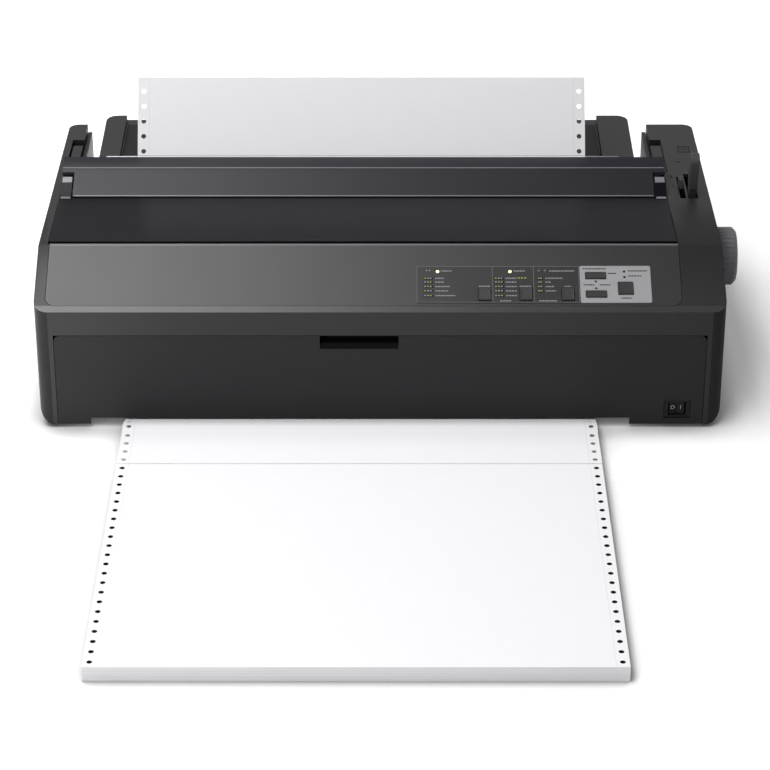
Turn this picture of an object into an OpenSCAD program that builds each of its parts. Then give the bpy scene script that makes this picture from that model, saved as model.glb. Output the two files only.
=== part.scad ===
// Wide-carriage dot matrix printer, loaded with fan-fold paper from a stack in front.
// Inside the modules, x = 0 is the middle of the case, y = 0 its front face and z = 0 the table.

/* [Case] */
// Width of the case
body_w = 544; // [530:1:560]
// Depth of the case
body_d = 309; // [304:1:316]
// Height of the upright front face
front_h = 97.6; // [96:0.2:99]
// Height of the rails beside the top cover
deck_z = 132; // [131:0.5:134]
// Height of the ridge behind the control panel
ridge_z = 133.2; // [133:0.1:134.5]
// Depth of the ridge behind the front face
ridge_y = 57.7; // [57:0.1:59]
// Depth of the band between the front face and the sloped panel
lip_d = 6.5; // [5:0.5:8]
// Height of the lower edge of the sloped panel
lip_z = 105; // [104:0.5:106]
// Wall thickness of the case
wall = 2.8; // [2.4:0.1:3.2]
// Radius of the front upright corners
corner_r = 11; // [8:0.5:13]
// Radius of the rear upright corners
rear_corner_r = 9; // [6:0.5:12]
// Radius of the lower side edges
bottom_r = 14; // [10:0.5:16]
// Width of the left rail
rail_left = 7; // [6:0.5:8]
// Width of the right rail
rail_right = 35; // [34:0.5:36]
// Height of the joint between lower and upper case
split_z = 40; // [36:0.5:44]
// Height of the rear deck under the paper guide
rear_deck_z = 95; // [92:0.5:97]
// Depth at which the rear deck begins
rear_deck_y = 214; // [212:0.5:218]
// Height of the rubber feet
foot_h = 2.2; // [1.8:0.1:2.6]
// Radius of a rubber foot
foot_r = 10; // [8:0.5:12]
// Gap between fixed pieces that lie side by side
gap = 0.4; // [0.3:0.05:0.5]
// Radial clearance of a running fit
run = 0.05; // [0.03:0.01:0.08]

/* [Front cover] */
// Width of a front column beside the front cover
column_w = 15; // [13:0.5:17]
// Height of its top edge
fcover_top = 81.7; // [80:0.1:83]
// Height of its lower edge over the paper
fcover_low = 8.5; // [8.2:0.1:8.8]
// Thickness of the cover
fcover_t = 3; // [2.6:0.1:3.2]
// Width of the finger pocket
pocket_w = 62; // [50:1:70]
// Height of the finger pocket
pocket_h = 11.4; // [10:0.2:13]
// Depth of the finger pocket
pocket_d = 9; // [7:0.5:10]
// Place of the pocket's middle to the right of the case's middle
pocket_x = -16.5; // [-30:0.5:10]
// Depth of the cover's hinge axis
fhinge_y = 4; // [3.8:0.1:4.4]
// Height of the cover's hinge axis
fhinge_z = 11; // [10.8:0.1:11.4]
// Radius of the small hinge pins of the covers
hinge_r = 2; // [1.6:0.1:2.2]

/* [Control panel] */
// Thickness of the fascia plate
fascia_t = 2.6; // [2.2:0.1:3]
// Distance of the silver plate from the panel's right end
label_end = 23.5; // [18:0.5:28]
// Length of the marked area and the silver plate together
label_w = 185; // [180:0.5:190]
// Length of the silver plate
silver_w = 56; // [50:0.5:60]
// Height of both areas along the slope
label_h = 35.5; // [33:0.5:37]
// Distance of their lower edge from the panel's lower edge
label_up = 2.6; // [2:0.1:4]
// Thickness of the silver plate and the marked area
label_t = 0.5; // [0.3:0.1:0.8]
// Width of a key button
key_w = 9.6; // [9:0.1:10.5]
// Height of a key button
key_h = 11; // [10:0.2:12]
// How far a button stands out of the panel
key_out = 1.6; // [1.2:0.1:2]
// Travel of a button
key_travel = 1.2; // [0.8:0.1:1.3]

/* [Covers] */
// Depth of the window's front edge
window_y = 65.5; // [64:0.5:68]
// Depth of the foot of the rear cover's riser
riser_y = 151; // [150:0.5:153]
// Thickness of the smoked covers
cover_t = 2.5; // [2.2:0.1:2.8]
// Depth of the rear cover's crest
crest_y = 180; // [178:0.5:182]
// Height of the rear cover's crest
crest_z = 147; // [146:0.5:148]
// Depth of the rear cover's back edge
cover_back_y = 196.5; // [195:0.5:197.5]
// Height of the rear cover's back edge
cover_back_z = 149.6; // [149:0.1:150]
// Distance of the rear cover's hinge axis in front of the towers
rhinge_in = 12; // [8:0.5:16]
// Height of the rear cover's hinge axis
rhinge_z = 122; // [120:0.5:124]
// Width of a rear cover arm
arm_w = 9; // [8:0.5:9.5]
// Length of the window's hinge ears
ear_w = 10; // [9:0.5:11]
// Depth of the window's hinge axis
whinge_y = 166; // [165:0.5:168]
// Height of the window's hinge axis
whinge_z = 137.5; // [137.3:0.1:137.7]

/* [Paper guide] */
// Space between the paper guide and the tower beside it
guide_side = 15.5; // [14:0.5:18]
// Width of its left arm
guide_arm_w = 17.5; // [16:0.5:19]
// Width of its right arm
guide_right_w = 27; // [25:0.5:29]
// How far the guide stands out behind the case
guide_over = 18; // [13:0.5:23]
// Depth of the guide's pivot
guide_piv_y = 232; // [229:0.5:235]
// Height of the guide's pivot
guide_piv_z = 114; // [112:0.5:116]
// Rise of the guide towards the back, in degrees
guide_rise = 3; // [2:0.5:4]
// Height of an arm
guide_arm_h = 21; // [19:0.5:23]
// Thickness of the plate between the arms
guide_plate_t = 3; // [2.5:0.1:3.5]

/* [Paper] */
// Width of the paper
sheet_w = 375; // [374:0.1:379]
// Length of one sheet
sheet_l = 279.4; // [254:12.7:304.8]
// Distance between feed holes
hole_pitch = 12.7; // [12.7]
// Distance of the feed holes from the side edge
hole_in = 4.95; // [4.4:0.05:6.4]
// Radius of a feed hole
hole_r = 2; // [1.9:0.05:2.05]
// Thickness of the paper web
paper_t = 0.3; // [0.2:0.05:0.4]
// Height of the stack
stack_h = 12; // [8:0.5:12]
// Distance of the stack behind which the web runs in, from the front face
stack_gap = 80.4; // [76:0.2:90]
// Middle of the paper to the right of the case's middle
paper_x = -16; // [-18:0.5:-14]
// Slope of the paper over the tractors, in degrees
feed_slope = 25; // [24:0.5:26]
// Lean of the free end behind the cover, in degrees from level
exit_slope = 58; // [56:0.5:60]
// Slope of the paper between platen and exit, in degrees
over_slope = 29; // [28:0.5:30]
// Length of the free end
free_l = 66.5; // [50:0.5:75]

/* [Platen and gears] */
// Depth of the platen's axis
platen_y = 140; // [139:0.5:141]
// Height of the platen's axis
platen_z = 85; // [84.5:0.5:86]
// Radius of the platen
platen_r = 19; // [18.6:0.1:19.2]
// Radius of the platen's core
platen_core_r = 15; // [13:0.5:16]
// Length of the platen
platen_l = 404; // [396:1:408]
// Radius of the platen's shaft
shaft_r = 4; // [3.5:0.1:4.5]
// Diameter of the feed knob
knob_d = 48; // [44:0.5:52]
// Length of the feed knob
knob_l = 20.5; // [18:0.5:24]
// Gear module
gear_m = 1; // [1]
// Teeth of the platen gear
platen_n = 42; // [42:1:43]
// Teeth of the idler gear
idler_n = 40; // [40:1:41]
// Teeth of the tractor gear
tractor_n = 22; // [22:1:23]
// Teeth of the motor pinion
pinion_n = 14; // [12:1:16]
// Face width of the gears
gear_w = 7; // [5:0.5:8]

/* [Frame and carriage] */
// Thickness of the sheet metal
plate_t = 1.6; // [1.2:0.1:2]
// Distance between the frame plates
frame_in = 430; // [426:1:434]
// Depth of the guide shaft
guide_y = 86; // [85.5:0.5:86.5]
// Height of the guide shaft
guide_z = 74; // [73:0.5:75]
// Radius of the guide shaft
guide_r = 6; // [5:0.1:6.5]
// Width of the carriage
carriage_w = 44; // [40:1:45]
// Place of the parked carriage to the right of the case's middle
park_x = -190; // [-190:1:-188]
// Radius of the belt pulleys
pulley_r = 8; // [7:0.5:9]
// Thickness of the belt
belt_t = 1.4; // [1:0.1:1.6]
// Width of the belt
belt_w = 6; // [5:0.5:7]
// Side of the stepper motors
motor_s = 40; // [36:1:40]

/* [Tractors] */
// Width of a tractor
tractor_w = 22; // [20:0.5:24]
// Radius of the sprockets, at the paper
sprocket_r = 10.1; // [10.1]
// Distance between the two ends of a tractor along the web
tractor_l = 35.3; // [34:0.1:36]
// Side of the square tractor shaft
square_s = 6; // [5:0.5:6.5]
// Radius of the tractor bar
bar_r = 3; // [2.5:0.1:3.5]

/* [Levers] */
// Depth of the levers' axis
lever_y = 172; // [171:0.5:173]
// Height of the levers' axis
lever_z = 90; // [88:0.5:92]
// Radius of the levers' pin
lever_pin_r = 3; // [2.5:0.1:3.5]
// Height of the release lever's top
release_top = 170; // [165:0.5:172]
// Height of the thickness lever's top
thick_top = 139.5; // [138:0.5:141]

/* [Hidden] */
$fn = 48;
half_w = body_w / 2;
floor_z = foot_h + wall;
cover_x0 = -half_w + rail_left;
cover_x1 = half_w - rail_right;
fcover_w = body_w - 2 * column_w;
guide_end_y = body_d + guide_over;
tower_l = 35;
tower_y = body_d - tower_l;
rhinge_y = tower_y - rhinge_in;

// Colours
black = [0.13, 0.13, 0.14];
charcoal = [0.26, 0.26, 0.27];
grey = [0.45, 0.45, 0.46];
smoke = [0.2, 0.2, 0.24, 0.85];
steel = [0.7, 0.71, 0.72];
dark_steel = [0.4, 0.41, 0.43];
rubber = [0.08, 0.08, 0.08];
white = [0.95, 0.95, 0.95];
board_green = [0.1, 0.3, 0.18];

// Outline helpers. A path is a list of [y, z] points seen from the right.
function unit(v) = v / norm(v);
function left_of(v) = [-v[1], v[0]];
function miter(u, v) = (left_of(u) + left_of(v)) / (1 + u * v);
function inset(p, d) = let (n = len(p)) [for (i = [0:n - 1])
  p[i] + d * miter(unit(p[i] - p[(i + n - 1) % n]), unit(p[(i + 1) % n] - p[i]))];
function beside(p, d) = let (n = len(p)) [for (i = [0:n - 1])
  let (u = unit(p[i == 0 ? 1 : i] - p[i == 0 ? 0 : i - 1]),
       v = unit(p[i == n - 1 ? i : i + 1] - p[i == n - 1 ? i - 1 : i])) p[i] + d * miter(u, v)];
function reversed(p) = [for (i = [len(p) - 1:-1:0]) p[i]];
function band(p, d0, d1) = concat(beside(p, d0), reversed(beside(p, d1)));

module along_x(x0, x1) translate([x0, 0, 0]) rotate([90, 0, 90]) linear_extrude(x1 - x0) children();
module along_y(y0, y1) translate([0, y1, 0]) rotate([90, 0, 0]) linear_extrude(y1 - y0) children();
module along_z(z0, z1) translate([0, 0, z0]) linear_extrude(z1 - z0) children();
module box(x, y, z) translate([x[0], y[0], z[0]]) cube([x[1] - x[0], y[1] - y[0], z[1] - z[0]]);
module rod_x(x0, x1, y, z, r) translate([x0, y, z]) rotate([0, 90, 0]) cylinder(h = x1 - x0, r = r);
module rod_y(y0, y1, x, z, r) translate([x, y0, z]) rotate([-90, 0, 0]) cylinder(h = y1 - y0, r = r);
module rod_z(z0, z1, x, y, r) translate([x, y, z0]) cylinder(h = z1 - z0, r = r);
module mirrored() {
  children();
  mirror([1, 0, 0]) children();
}
module round_rect(x, y, r) {
  translate([x[0] + r, y[0]]) square([x[1] - x[0] - 2 * r, y[1] - y[0]]);
  translate([x[0], y[0] + r]) square([x[1] - x[0], y[1] - y[0] - 2 * r]);
  for (a = [x[0] + r, x[1] - r], b = [y[0] + r, y[1] - r]) translate([a, b]) circle(r);
}

// Case outline: side profile, plan and front view, each set in by the same distance
side_pts = [[0, foot_h], [body_d, foot_h], [body_d, deck_z], [ridge_y, ridge_z], [lip_d, lip_z],
  [0, front_h]];
module case_plan(in) {
  translate([-half_w + in, corner_r]) square([2 * (half_w - in), body_d - corner_r - rear_corner_r]);
  translate([-half_w + corner_r, in]) square([2 * (half_w - corner_r), corner_r]);
  translate([-half_w + rear_corner_r, body_d - rear_corner_r - 1])
    square([2 * (half_w - rear_corner_r), rear_corner_r + 1 - in]);
  for (s = [-1, 1]) {
    translate([s * (half_w - corner_r), corner_r]) circle(corner_r - in);
    translate([s * (half_w - rear_corner_r), body_d - rear_corner_r]) circle(rear_corner_r - in);
  }
}
module case_front(in) {
  translate([-half_w + in, foot_h + bottom_r]) square([2 * (half_w - in), ridge_z]);
  translate([-half_w + bottom_r, foot_h + in]) square([2 * (half_w - bottom_r), ridge_z]);
  for (s = [-1, 1]) translate([s * (half_w - bottom_r), foot_h + bottom_r]) circle(bottom_r - in);
}
module case_solid(in) intersection() {
  along_x(-half_w, half_w) polygon(inset(side_pts, in));
  along_z(0, 2 * ridge_z) case_plan(in);
  along_y(-1, body_d + 1) case_front(in);
}
module case_shell() difference() {
  case_solid(0);
  case_solid(wall);
}

// Sloped panel: local x along the case, y up the slope and z out of the panel
slope_a = atan2(ridge_z - lip_z, ridge_y - lip_d);
slope_l = norm([ridge_y - lip_d, ridge_z - lip_z]);
module on_slope() translate([0, lip_d, lip_z]) rotate([slope_a, 0, 0]) children();
function slope_pt(s, n) = [lip_d + s * cos(slope_a) - n * sin(slope_a),
  lip_z + s * sin(slope_a) + n * cos(slope_a)];
fascia_x0 = -half_w + 9;
fascia_x1 = cover_x1;
fascia_r = 8;
fascia_back = 3.3;
fascia_drop = 9;
label_x0 = fascia_x1 - label_end - label_w;
module fascia_outline(grow) {
  translate([fascia_x0 - grow, fascia_r]) square([fascia_x1 - fascia_x0 + 2 * grow, 2 * slope_l]);
  translate([fascia_x0 + fascia_r, -grow])
    square([fascia_x1 - fascia_x0 - 2 * fascia_r, fascia_r + 2 * grow]);
  for (x = [fascia_x0 + fascia_r, fascia_x1 - fascia_r]) translate([x, fascia_r]) circle(fascia_r + grow);
}

// Paper path: each stretch is [length, turn in degrees]. The web leaves the stack's back fold level,
// humps up a little and dips under the front cover
platen_wrap = platen_r + 0.25 + paper_t / 2;
hump_in = 70;
hump_r = 20;
hump_slope = 10;
dip_slope = 20;
bend_in = 30;
bend_up = 35;
bend_out = 60;
fold_z = stack_h + paper_t / 2;
dip_y = 0.37;
dip_z = 6.76;
dip_l = (fold_z + hump_in * (1 - cos(hump_slope)) - hump_r * (cos(hump_slope) - cos(dip_slope)) - dip_z)
  / sin(dip_slope);
level_l = dip_y + stack_gap - hump_in * sin(hump_slope) - hump_r * (sin(hump_slope) + sin(dip_slope))
  - dip_l * cos(dip_slope);
bend_in_y = dip_y + bend_in * (sin(feed_slope) + sin(dip_slope));
bend_in_z = dip_z + bend_in * (cos(dip_slope) - cos(feed_slope));
rise_y = platen_y - platen_wrap - bend_up * (1 - sin(feed_slope));
rise_z = bend_in_z + (rise_y - bend_in_y) * tan(feed_slope);
arc = PI / 180;
exit_gap = 3.6;
over_l = (cover_back_y + exit_gap - bend_out * (sin(exit_slope) - sin(over_slope)) - platen_y
  + platen_wrap * sin(over_slope)) / cos(over_slope);
stretches = [
  [level_l, 0],
  [hump_in * hump_slope * arc, hump_slope],
  [hump_r * (hump_slope + dip_slope) * arc, -hump_slope - dip_slope],
  [dip_l, 0],
  [bend_in * (feed_slope + dip_slope) * arc, feed_slope + dip_slope],
  [(rise_y - bend_in_y) / cos(feed_slope), 0],
  [bend_up * (90 - feed_slope) * arc, 90 - feed_slope],
  [platen_z - rise_z - bend_up * cos(feed_slope), 0],
  [platen_wrap * (90 - over_slope) * arc, over_slope - 90],
  [over_l, 0],
  [bend_out * (exit_slope - over_slope) * arc, exit_slope - over_slope],
  [free_l, 0]];
// Numbers of the stretches on the ramp, round the carriage, behind the platen, at the exit and past it
on_ramp = 5;
on_bend = 6;
on_over = 9;
on_exit = 10;
on_end = 11;
// A place on the path is [y, z, heading]
function step(p, s) = abs(s[1]) < 0.001
  ? [p[0] + s[0] * cos(p[2]), p[1] + s[0] * sin(p[2]), p[2]]
  : let (r = s[0] / (s[1] * arc), h = p[2] + s[1])
    [p[0] + r * (sin(h) - sin(p[2])), p[1] + r * (cos(p[2]) - cos(h)), h];
function place(i) = i == 0 ? [-stack_gap, fold_z, 0] : step(place(i - 1), stretches[i - 1]);
function start(i) = i == 0 ? 0 : start(i - 1) + stretches[i - 1][0];
function walk(s, i = 0) = s <= stretches[i][0] || i == len(stretches) - 1
  ? step(place(i), [s, stretches[i][1] * s / stretches[i][0]])
  : walk(s - stretches[i][0], i + 1);
turn_step = 6;
function pieces(i) = abs(stretches[i][1]) < 0.001 ? 1 : ceil(abs(stretches[i][1]) / turn_step);
function path(i0, i1) = concat(
  [for (i = [i0:i1], k = [0:pieces(i) - 1])
    let (f = k / pieces(i), p = step(place(i), [stretches[i][0] * f, stretches[i][1] * f])) [p[0], p[1]]],
  [[place(i1 + 1)[0], place(i1 + 1)[1]]]);
first_hole = hole_pitch / 2;
function hole_at(k) = first_hole + k * hole_pitch;
exit_place = place(on_end);
web_end = start(on_end);
web_holes = floor((web_end - first_hole) / hole_pitch);
holes_x = [paper_x - sheet_w / 2 + hole_in, paper_x + sheet_w / 2 - hole_in];
module feed_hole(s) {
  p = walk(s);
  for (x = holes_x) translate([x, p[0], p[1]]) rotate([p[2], 0, 0])
    cylinder(h = 2, r = hole_r, center = true);
}

// Frame and gear places
frame_x0 = paper_x + 1 - frame_in / 2;
frame_x1 = frame_x0 + frame_in;
frame_y = [46, 216];
frame_top = 103.7;
brace_y = [frame_y[1] - 30, frame_y[1] - 8];
gear_x = frame_x1 + plate_t + 4.4;
tract_y = [for (s = [0, 1]) rise_y - 6 - (1 - s) * tractor_l * cos(feed_slope)];
function web_z(y) = bend_in_z + (y - bend_in_y) * tan(feed_slope);
function under_web(y, d) = [y + d * sin(feed_slope), web_z(y) - d * cos(feed_slope)];
bar_c = under_web(tract_y[0], sprocket_r);
square_c = under_web(tract_y[1], sprocket_r);
platen_c = [platen_y, platen_z];
function bearing(a, b) = atan2(b[1] - a[1], b[0] - a[0]);
function meet(a, b, ra, rb) = let (d = norm(b - a), t = (ra * ra - rb * rb + d * d) / (2 * d),
  h = sqrt(ra * ra - t * t), u = (b - a) / d) a + t * u + h * left_of(u);
idler_c = meet(platen_c, square_c, gear_m * (platen_n + idler_n) / 2, gear_m * (idler_n + tractor_n) / 2);
pinion_a = -35;
pinion_c = idler_c + gear_m * (idler_n + pinion_n) / 2 * [cos(pinion_a), sin(pinion_a)];
function mesh(phase, n1, n2, a) = a + 180 + 180 / n2 - (phase - a) * n1 / n2;
idler_phase = mesh(0, platen_n, idler_n, bearing(platen_c, idler_c));
tractor_phase = mesh(idler_phase, idler_n, tractor_n, bearing(idler_c, square_c));
pinion_phase = mesh(idler_phase, idler_n, pinion_n, pinion_a);
// Teeth are trapezoids with a little backlash
tooth_root = 1.15;
tooth_tip = 0.85;
function gear_pts(n) = [for (i = [0:n - 1], k = [[-0.3, -tooth_root], [-0.12, tooth_tip], [0.12, tooth_tip],
  [0.3, -tooth_root]]) let (r = gear_m * (n / 2 + k[1]), a = (i + k[0]) * 360 / n) r * [cos(a), sin(a)]];
module gear(n, c, phase) translate([gear_x, c[0], c[1]]) rotate([90, 0, 90]) rotate([0, 0, phase])
  linear_extrude(gear_w) polygon(gear_pts(n));
module gear_bore(c, r) rod_x(gear_x - 1, gear_x + gear_w + 1, c[0], c[1], r);

knob_neck_r = 7;
guide_top = deck_z + 1;
function guide_line(y) = guide_top - (guide_end_y - y) * tan(guide_rise);
function guide_under(y) = guide_line(y) - guide_arm_h / cos(guide_rise);

// ---- Case ----
column_d = 17.6;
column_x = fcover_w / 2 + gap;
tower_left_x = -half_w + 15.5;
tower_right_x = cover_x1 - 4.5;
slot_left = [-half_w + 6, -half_w + 16];
slot_right = [cover_x1 - 5.2, cover_x1 + 4.8];
slot_y = [rear_deck_y + 6, tower_y];
slot_wall = 3.4;
plate_drop = 6;
guide_x0 = tower_left_x + guide_side;
guide_x1 = tower_right_x - guide_side;
guide_rest_y = body_d - 17;
guide_ear_t = 3.8;
guide_pin_r = 3;
lever_slots = [[cover_x1 + 10.8, cover_x1 + 15.6, lever_y - 22, lever_y + 22],
  [cover_x1 + 17.4, cover_x1 + 25.5, lever_y - 22, lever_y + 28]];
vent_n = 12;
vent_y = 150;
vent_z = [52, 84];
vent_w = 3;
vent_pitch = 9;

// Bearing walls on both sides of a slot: the outer one reaches the rail, the inner one is a thin plate
module slot_walls(outer, inner) {
  box(outer, [slot_y[0], tower_y + 1], [rear_deck_z - wall, deck_z - 0.5]);
  box(inner, [slot_y[0], body_d - wall], [rear_deck_z - wall, deck_z - plate_drop]);
}
module upper_case() color(charcoal) difference() {
  union() {
    difference() {
      intersection() {
        case_shell();
        union() {
          box([-half_w, half_w], [0, body_d], [split_z + gap, 2 * ridge_z]);
          box([-half_w, half_w], [0, column_d], [0, split_z + 1]);
        }
      }
      box([cover_x0, cover_x1], [ridge_y + 3, rear_deck_y], [rear_deck_z, 2 * ridge_z]);
      box([slot_left[0], cover_x1 + 5], [rear_deck_y - 10, body_d + 1], [rear_deck_z, 2 * ridge_z]);
      on_slope() along_z(-30, 30) fascia_outline(gap);
    }
    // Inner walls of the front columns
    mirrored() box([column_x, column_x + wall], [wall / 2, column_d], [floor_z - 1, fcover_top + 8]);
    // Ledges that carry the fascia and the window
    intersection() {
      case_solid(wall / 2);
      union() {
        on_slope() box([-half_w + 2, half_w - 2], [-5, 3.2], [-fascia_t - gap - 2.4, -fascia_t - gap]);
        for (x = [fascia_x0, fascia_x1])
          on_slope() box([x - 4, x + 4], [-5, slope_l - 4], [-fascia_t - gap - 2.4, -fascia_t - gap]);
        for (x = [cover_x0, cover_x1])
          box([x - 4, x + 4], [window_y, riser_y - 3],
            [ridge_z - cover_t - gap - 3, ridge_z - cover_t - gap]);
      }
    }
    intersection() {
      case_solid(wall / 2);
      union() {
        // Rear deck with its front apron
        box([-half_w, half_w], [rear_deck_y, body_d], [rear_deck_z - wall, rear_deck_z]);
        box([-half_w, half_w], [rear_deck_y, rear_deck_y + wall], [rear_deck_z - 22, rear_deck_z]);
        // Inner edges of the rails
        box([cover_x1, cover_x1 + 2.2], [ridge_y + 10, rear_deck_y - 9], [ridge_z - 18, ridge_z]);
        box([cover_x1 + 4.8, cover_x1 + 7], [rear_deck_y - 10, body_d], [rear_deck_z - 3, ridge_z]);
      }
    }
    // Towers beside the paper guide, with the slots for the rear cover's arms
    slot_walls([slot_left[0] - slot_wall - 0.2, slot_left[0]], [slot_left[1], slot_left[1] + slot_wall]);
    slot_walls([slot_right[1], slot_right[1] + slot_wall], [slot_right[0] - slot_wall, slot_right[0]]);
    intersection() {
      case_solid(0);
      for (x = [[-half_w, tower_left_x], [tower_right_x, half_w - rail_right + 8]]) difference() {
        box(x, [tower_y, body_d], [rear_deck_z - 1, 2 * ridge_z]);
        box([x[0] + wall, x[1] - wall], [tower_y + wall, body_d - wall], [rear_deck_z - 2, deck_z - wall]);
      }
    }
    // Ears and rests of the paper guide
    for (x = [guide_x0 - gap - guide_ear_t, guide_x1 + gap])
      box([x, x + guide_ear_t], [guide_piv_y - 7, guide_piv_y + 7], [rear_deck_z - 1, guide_piv_z + 7]);
    for (x = [guide_x0 + guide_arm_w / 2, guide_x1 - guide_right_w / 2]) box([x - 4, x + 4],
      [guide_rest_y - 4, guide_rest_y + 4], [rear_deck_z - 1, guide_under(guide_rest_y) - gap]);
    // Boss of the lever pin on the right wall
    rod_x(half_w - wall - 0.6, half_w - wall / 2, lever_y, lever_z, lever_pin_r + 4);
  }
  // Front opening
  box([-column_x, column_x], [-1, column_d + 1], [-1, fcover_top + gap]);
  // Rear wall between the towers
  box([slot_left[1] + slot_wall, tower_right_x - 4], [body_d - 12, body_d + 1], [rear_deck_z, 2 * ridge_z]);
  mirrored() rod_x(column_x - 1, column_x + 6, fhinge_y, fhinge_z, hinge_r + run);
  rod_x(slot_left[0] - slot_wall + 1, slot_left[1] + slot_wall - 1, rhinge_y, rhinge_z, hinge_r + run);
  rod_x(slot_right[0] - slot_wall + 1, slot_right[1] + 4, rhinge_y, rhinge_z, hinge_r + run);
  rod_x(guide_x0 - 10, guide_x1 + 10, guide_piv_y, guide_piv_z, guide_pin_r + run);
  rod_x(half_w - 10, half_w + 1, platen_y, platen_z, knob_neck_r + 1.5);
  rod_x(half_w - wall - 1, half_w - 0.8, lever_y, lever_z, lever_pin_r + run);
  for (v = lever_slots) box([v[0], v[1]], [v[2], v[3]], [deck_z - 12, 2 * ridge_z]);
  // Vents in the left wall
  for (i = [0:vent_n - 1]) box([-half_w - 1, -half_w + 10],
    [vent_y + vent_pitch * i, vent_y + vent_w + vent_pitch * i], vent_z);
}

port_x = [-150, -60];
port_w = [62, 14];
port_h = [13, 12];
board_t = 1.6;
board_z = 13;
port_base = board_z + board_t;
inlet_x = 120;
inlet_w = 28;
inlet_h = 21;
inlet_z = 22;
tongue_t = 1.2;
screw_r = 1.8;
screw_head_r = 3.2;
screw_places = [for (x = [frame_x0 + 7, frame_x1 - 7], y = [70, 195]) [x, y]];
main_x = [-200, 30];
main_y = [brace_y[1] + 4, body_d - 11];
psu_x = [62, 190];
psu_y = [brace_y[1] + 4, body_d - 29];
post_r = 3.5;
post_places = [for (v = [[main_x, main_y], [psu_x, psu_y]], x = [v[0][0] + 8, v[0][1] - 8],
  y = [v[1][0] + 6, v[1][1] - 12]) [x, y]];
module lower_case() color(charcoal) difference() {
  union() {
    intersection() {
      case_shell();
      box([-half_w, half_w], [column_d + gap, body_d], [0, split_z]);
    }
    // Tongue that locates the upper case
    intersection() {
      difference() {
        case_solid(wall + gap / 2);
        case_solid(wall + gap / 2 + tongue_t);
      }
      box([-half_w, half_w], [60, body_d], [split_z - 3, split_z + 4]);
    }
    intersection() {
      case_solid(wall);
      box([-half_w, half_w], [60, body_d], [split_z - 3, split_z - 1]);
    }
    // Posts under the boards
    for (p = post_places) rod_z(floor_z - 1, board_z, p[0], p[1], post_r);
  }
  // Open middle of the shelf under the tongue
  box([-half_w + wall + 3, half_w - wall - 3], [0, body_d - wall - 3], [floor_z + 8, split_z + 5]);
  // Ports and mains inlet in the rear wall
  for (i = [0, 1]) box([port_x[i] - port_w[i] / 2 - gap, port_x[i] + port_w[i] / 2 + gap],
    [body_d - 5, body_d + 1], [port_base - gap, port_base + port_h[i] + gap]);
  box([inlet_x - inlet_w / 2 - gap, inlet_x + inlet_w / 2 + gap], [body_d - 5, body_d + 1],
    [inlet_z - inlet_h / 2 - gap, inlet_z + inlet_h / 2 + gap]);
  for (p = screw_places) rod_z(-1, floor_z + 1, p[0], p[1], screw_r + 0.3);
}

feet_places = [for (x = [-half_w + 34, half_w - 34], y = [42, body_d - 36]) [x, y]];
module rubber_feet() color(rubber) for (p = feet_places) {
  rod_z(0, foot_h, p[0], p[1], foot_r);
}

module control_fascia() color(grey) difference() {
  union() {
    intersection() {
      along_x(fascia_x0, fascia_x1) polygon([slope_pt(0, 0), slope_pt(slope_l, 0),
        [ridge_y + fascia_back, ridge_z], [ridge_y + fascia_back, ridge_z - fascia_drop],
        slope_pt(slope_l, -fascia_t) - [0, fascia_drop - fascia_t], slope_pt(slope_l, -fascia_t),
        slope_pt(0, -fascia_t)]);
      on_slope() along_z(-30, 30) fascia_outline(0);
    }
    // Posts that hold the panel board
    on_slope() for (x = board_x, y = board_y)
      translate([x, y, -board_down]) cylinder(h = board_down - 1, r = 3);
  }
  on_slope() for (b = buttons) translate([b[0], b[1], 0])
    cube([b[2] + 2 * gap, b[3] + 2 * gap, 20], center = true);
  on_slope() for (p = lamps) translate([p[0], p[1], -10]) cylinder(h = 20, r = p[2] + 0.1);
}

// Buttons: [x, place up the slope, width, height]
key_s = 10.4;
key_x = [for (d = [53.6, 86.2, 119.2]) label_x0 + d];
bar_key_x = label_x0 + 141.5;
bar_key_s = [28.6, 10.8];
bar_key = [16, 6];
square_key = [label_x0 + 164.8, 16.4, 11.6, 11.6];
buttons = [for (x = key_x) [x, key_s, key_w, key_h], [bar_key_x, bar_key_s[0], bar_key[0], bar_key[1]],
  [bar_key_x, bar_key_s[1], bar_key[0], bar_key[1]], square_key];
// Lamps: [x, place up the slope, radius]
lamp_r = 1.3;
lamp_top = 32.6;
small_lamp_r = 1;
lamps = [for (d = [16.8, 74]) [label_x0 + d, lamp_top, lamp_r],
  for (s = [lamp_top, lamp_top - 5.3]) [label_x0 + 164.2, s, small_lamp_r]];
board_down = 9.5;
board_x = [label_x0 + 4, label_x0 + label_w + 2];
board_y = [7, 34];
module button(i) {
  b = buttons[i];
  flange = 1;
  on_slope() translate([b[0], b[1], 0]) {
    translate([-b[2] / 2, -b[3] / 2, -board_down + key_travel + 0.3])
      cube([b[2], b[3], board_down - key_travel - 0.3 + key_out]);
    translate([-b[2] / 2 - flange, -b[3] / 2 - flange, -fascia_t - 0.3 - 1])
      cube([b[2] + 2 * flange, b[3] + 2 * flange, 1]);
  }
}
module button_font() color(black) button(0);
module button_pitch() color(black) button(1);
module button_function() color(black) button(2);
module button_load() color(black) button(3);
module button_feed() color(black) button(4);
module button_pause() color(black) button(5);

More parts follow.
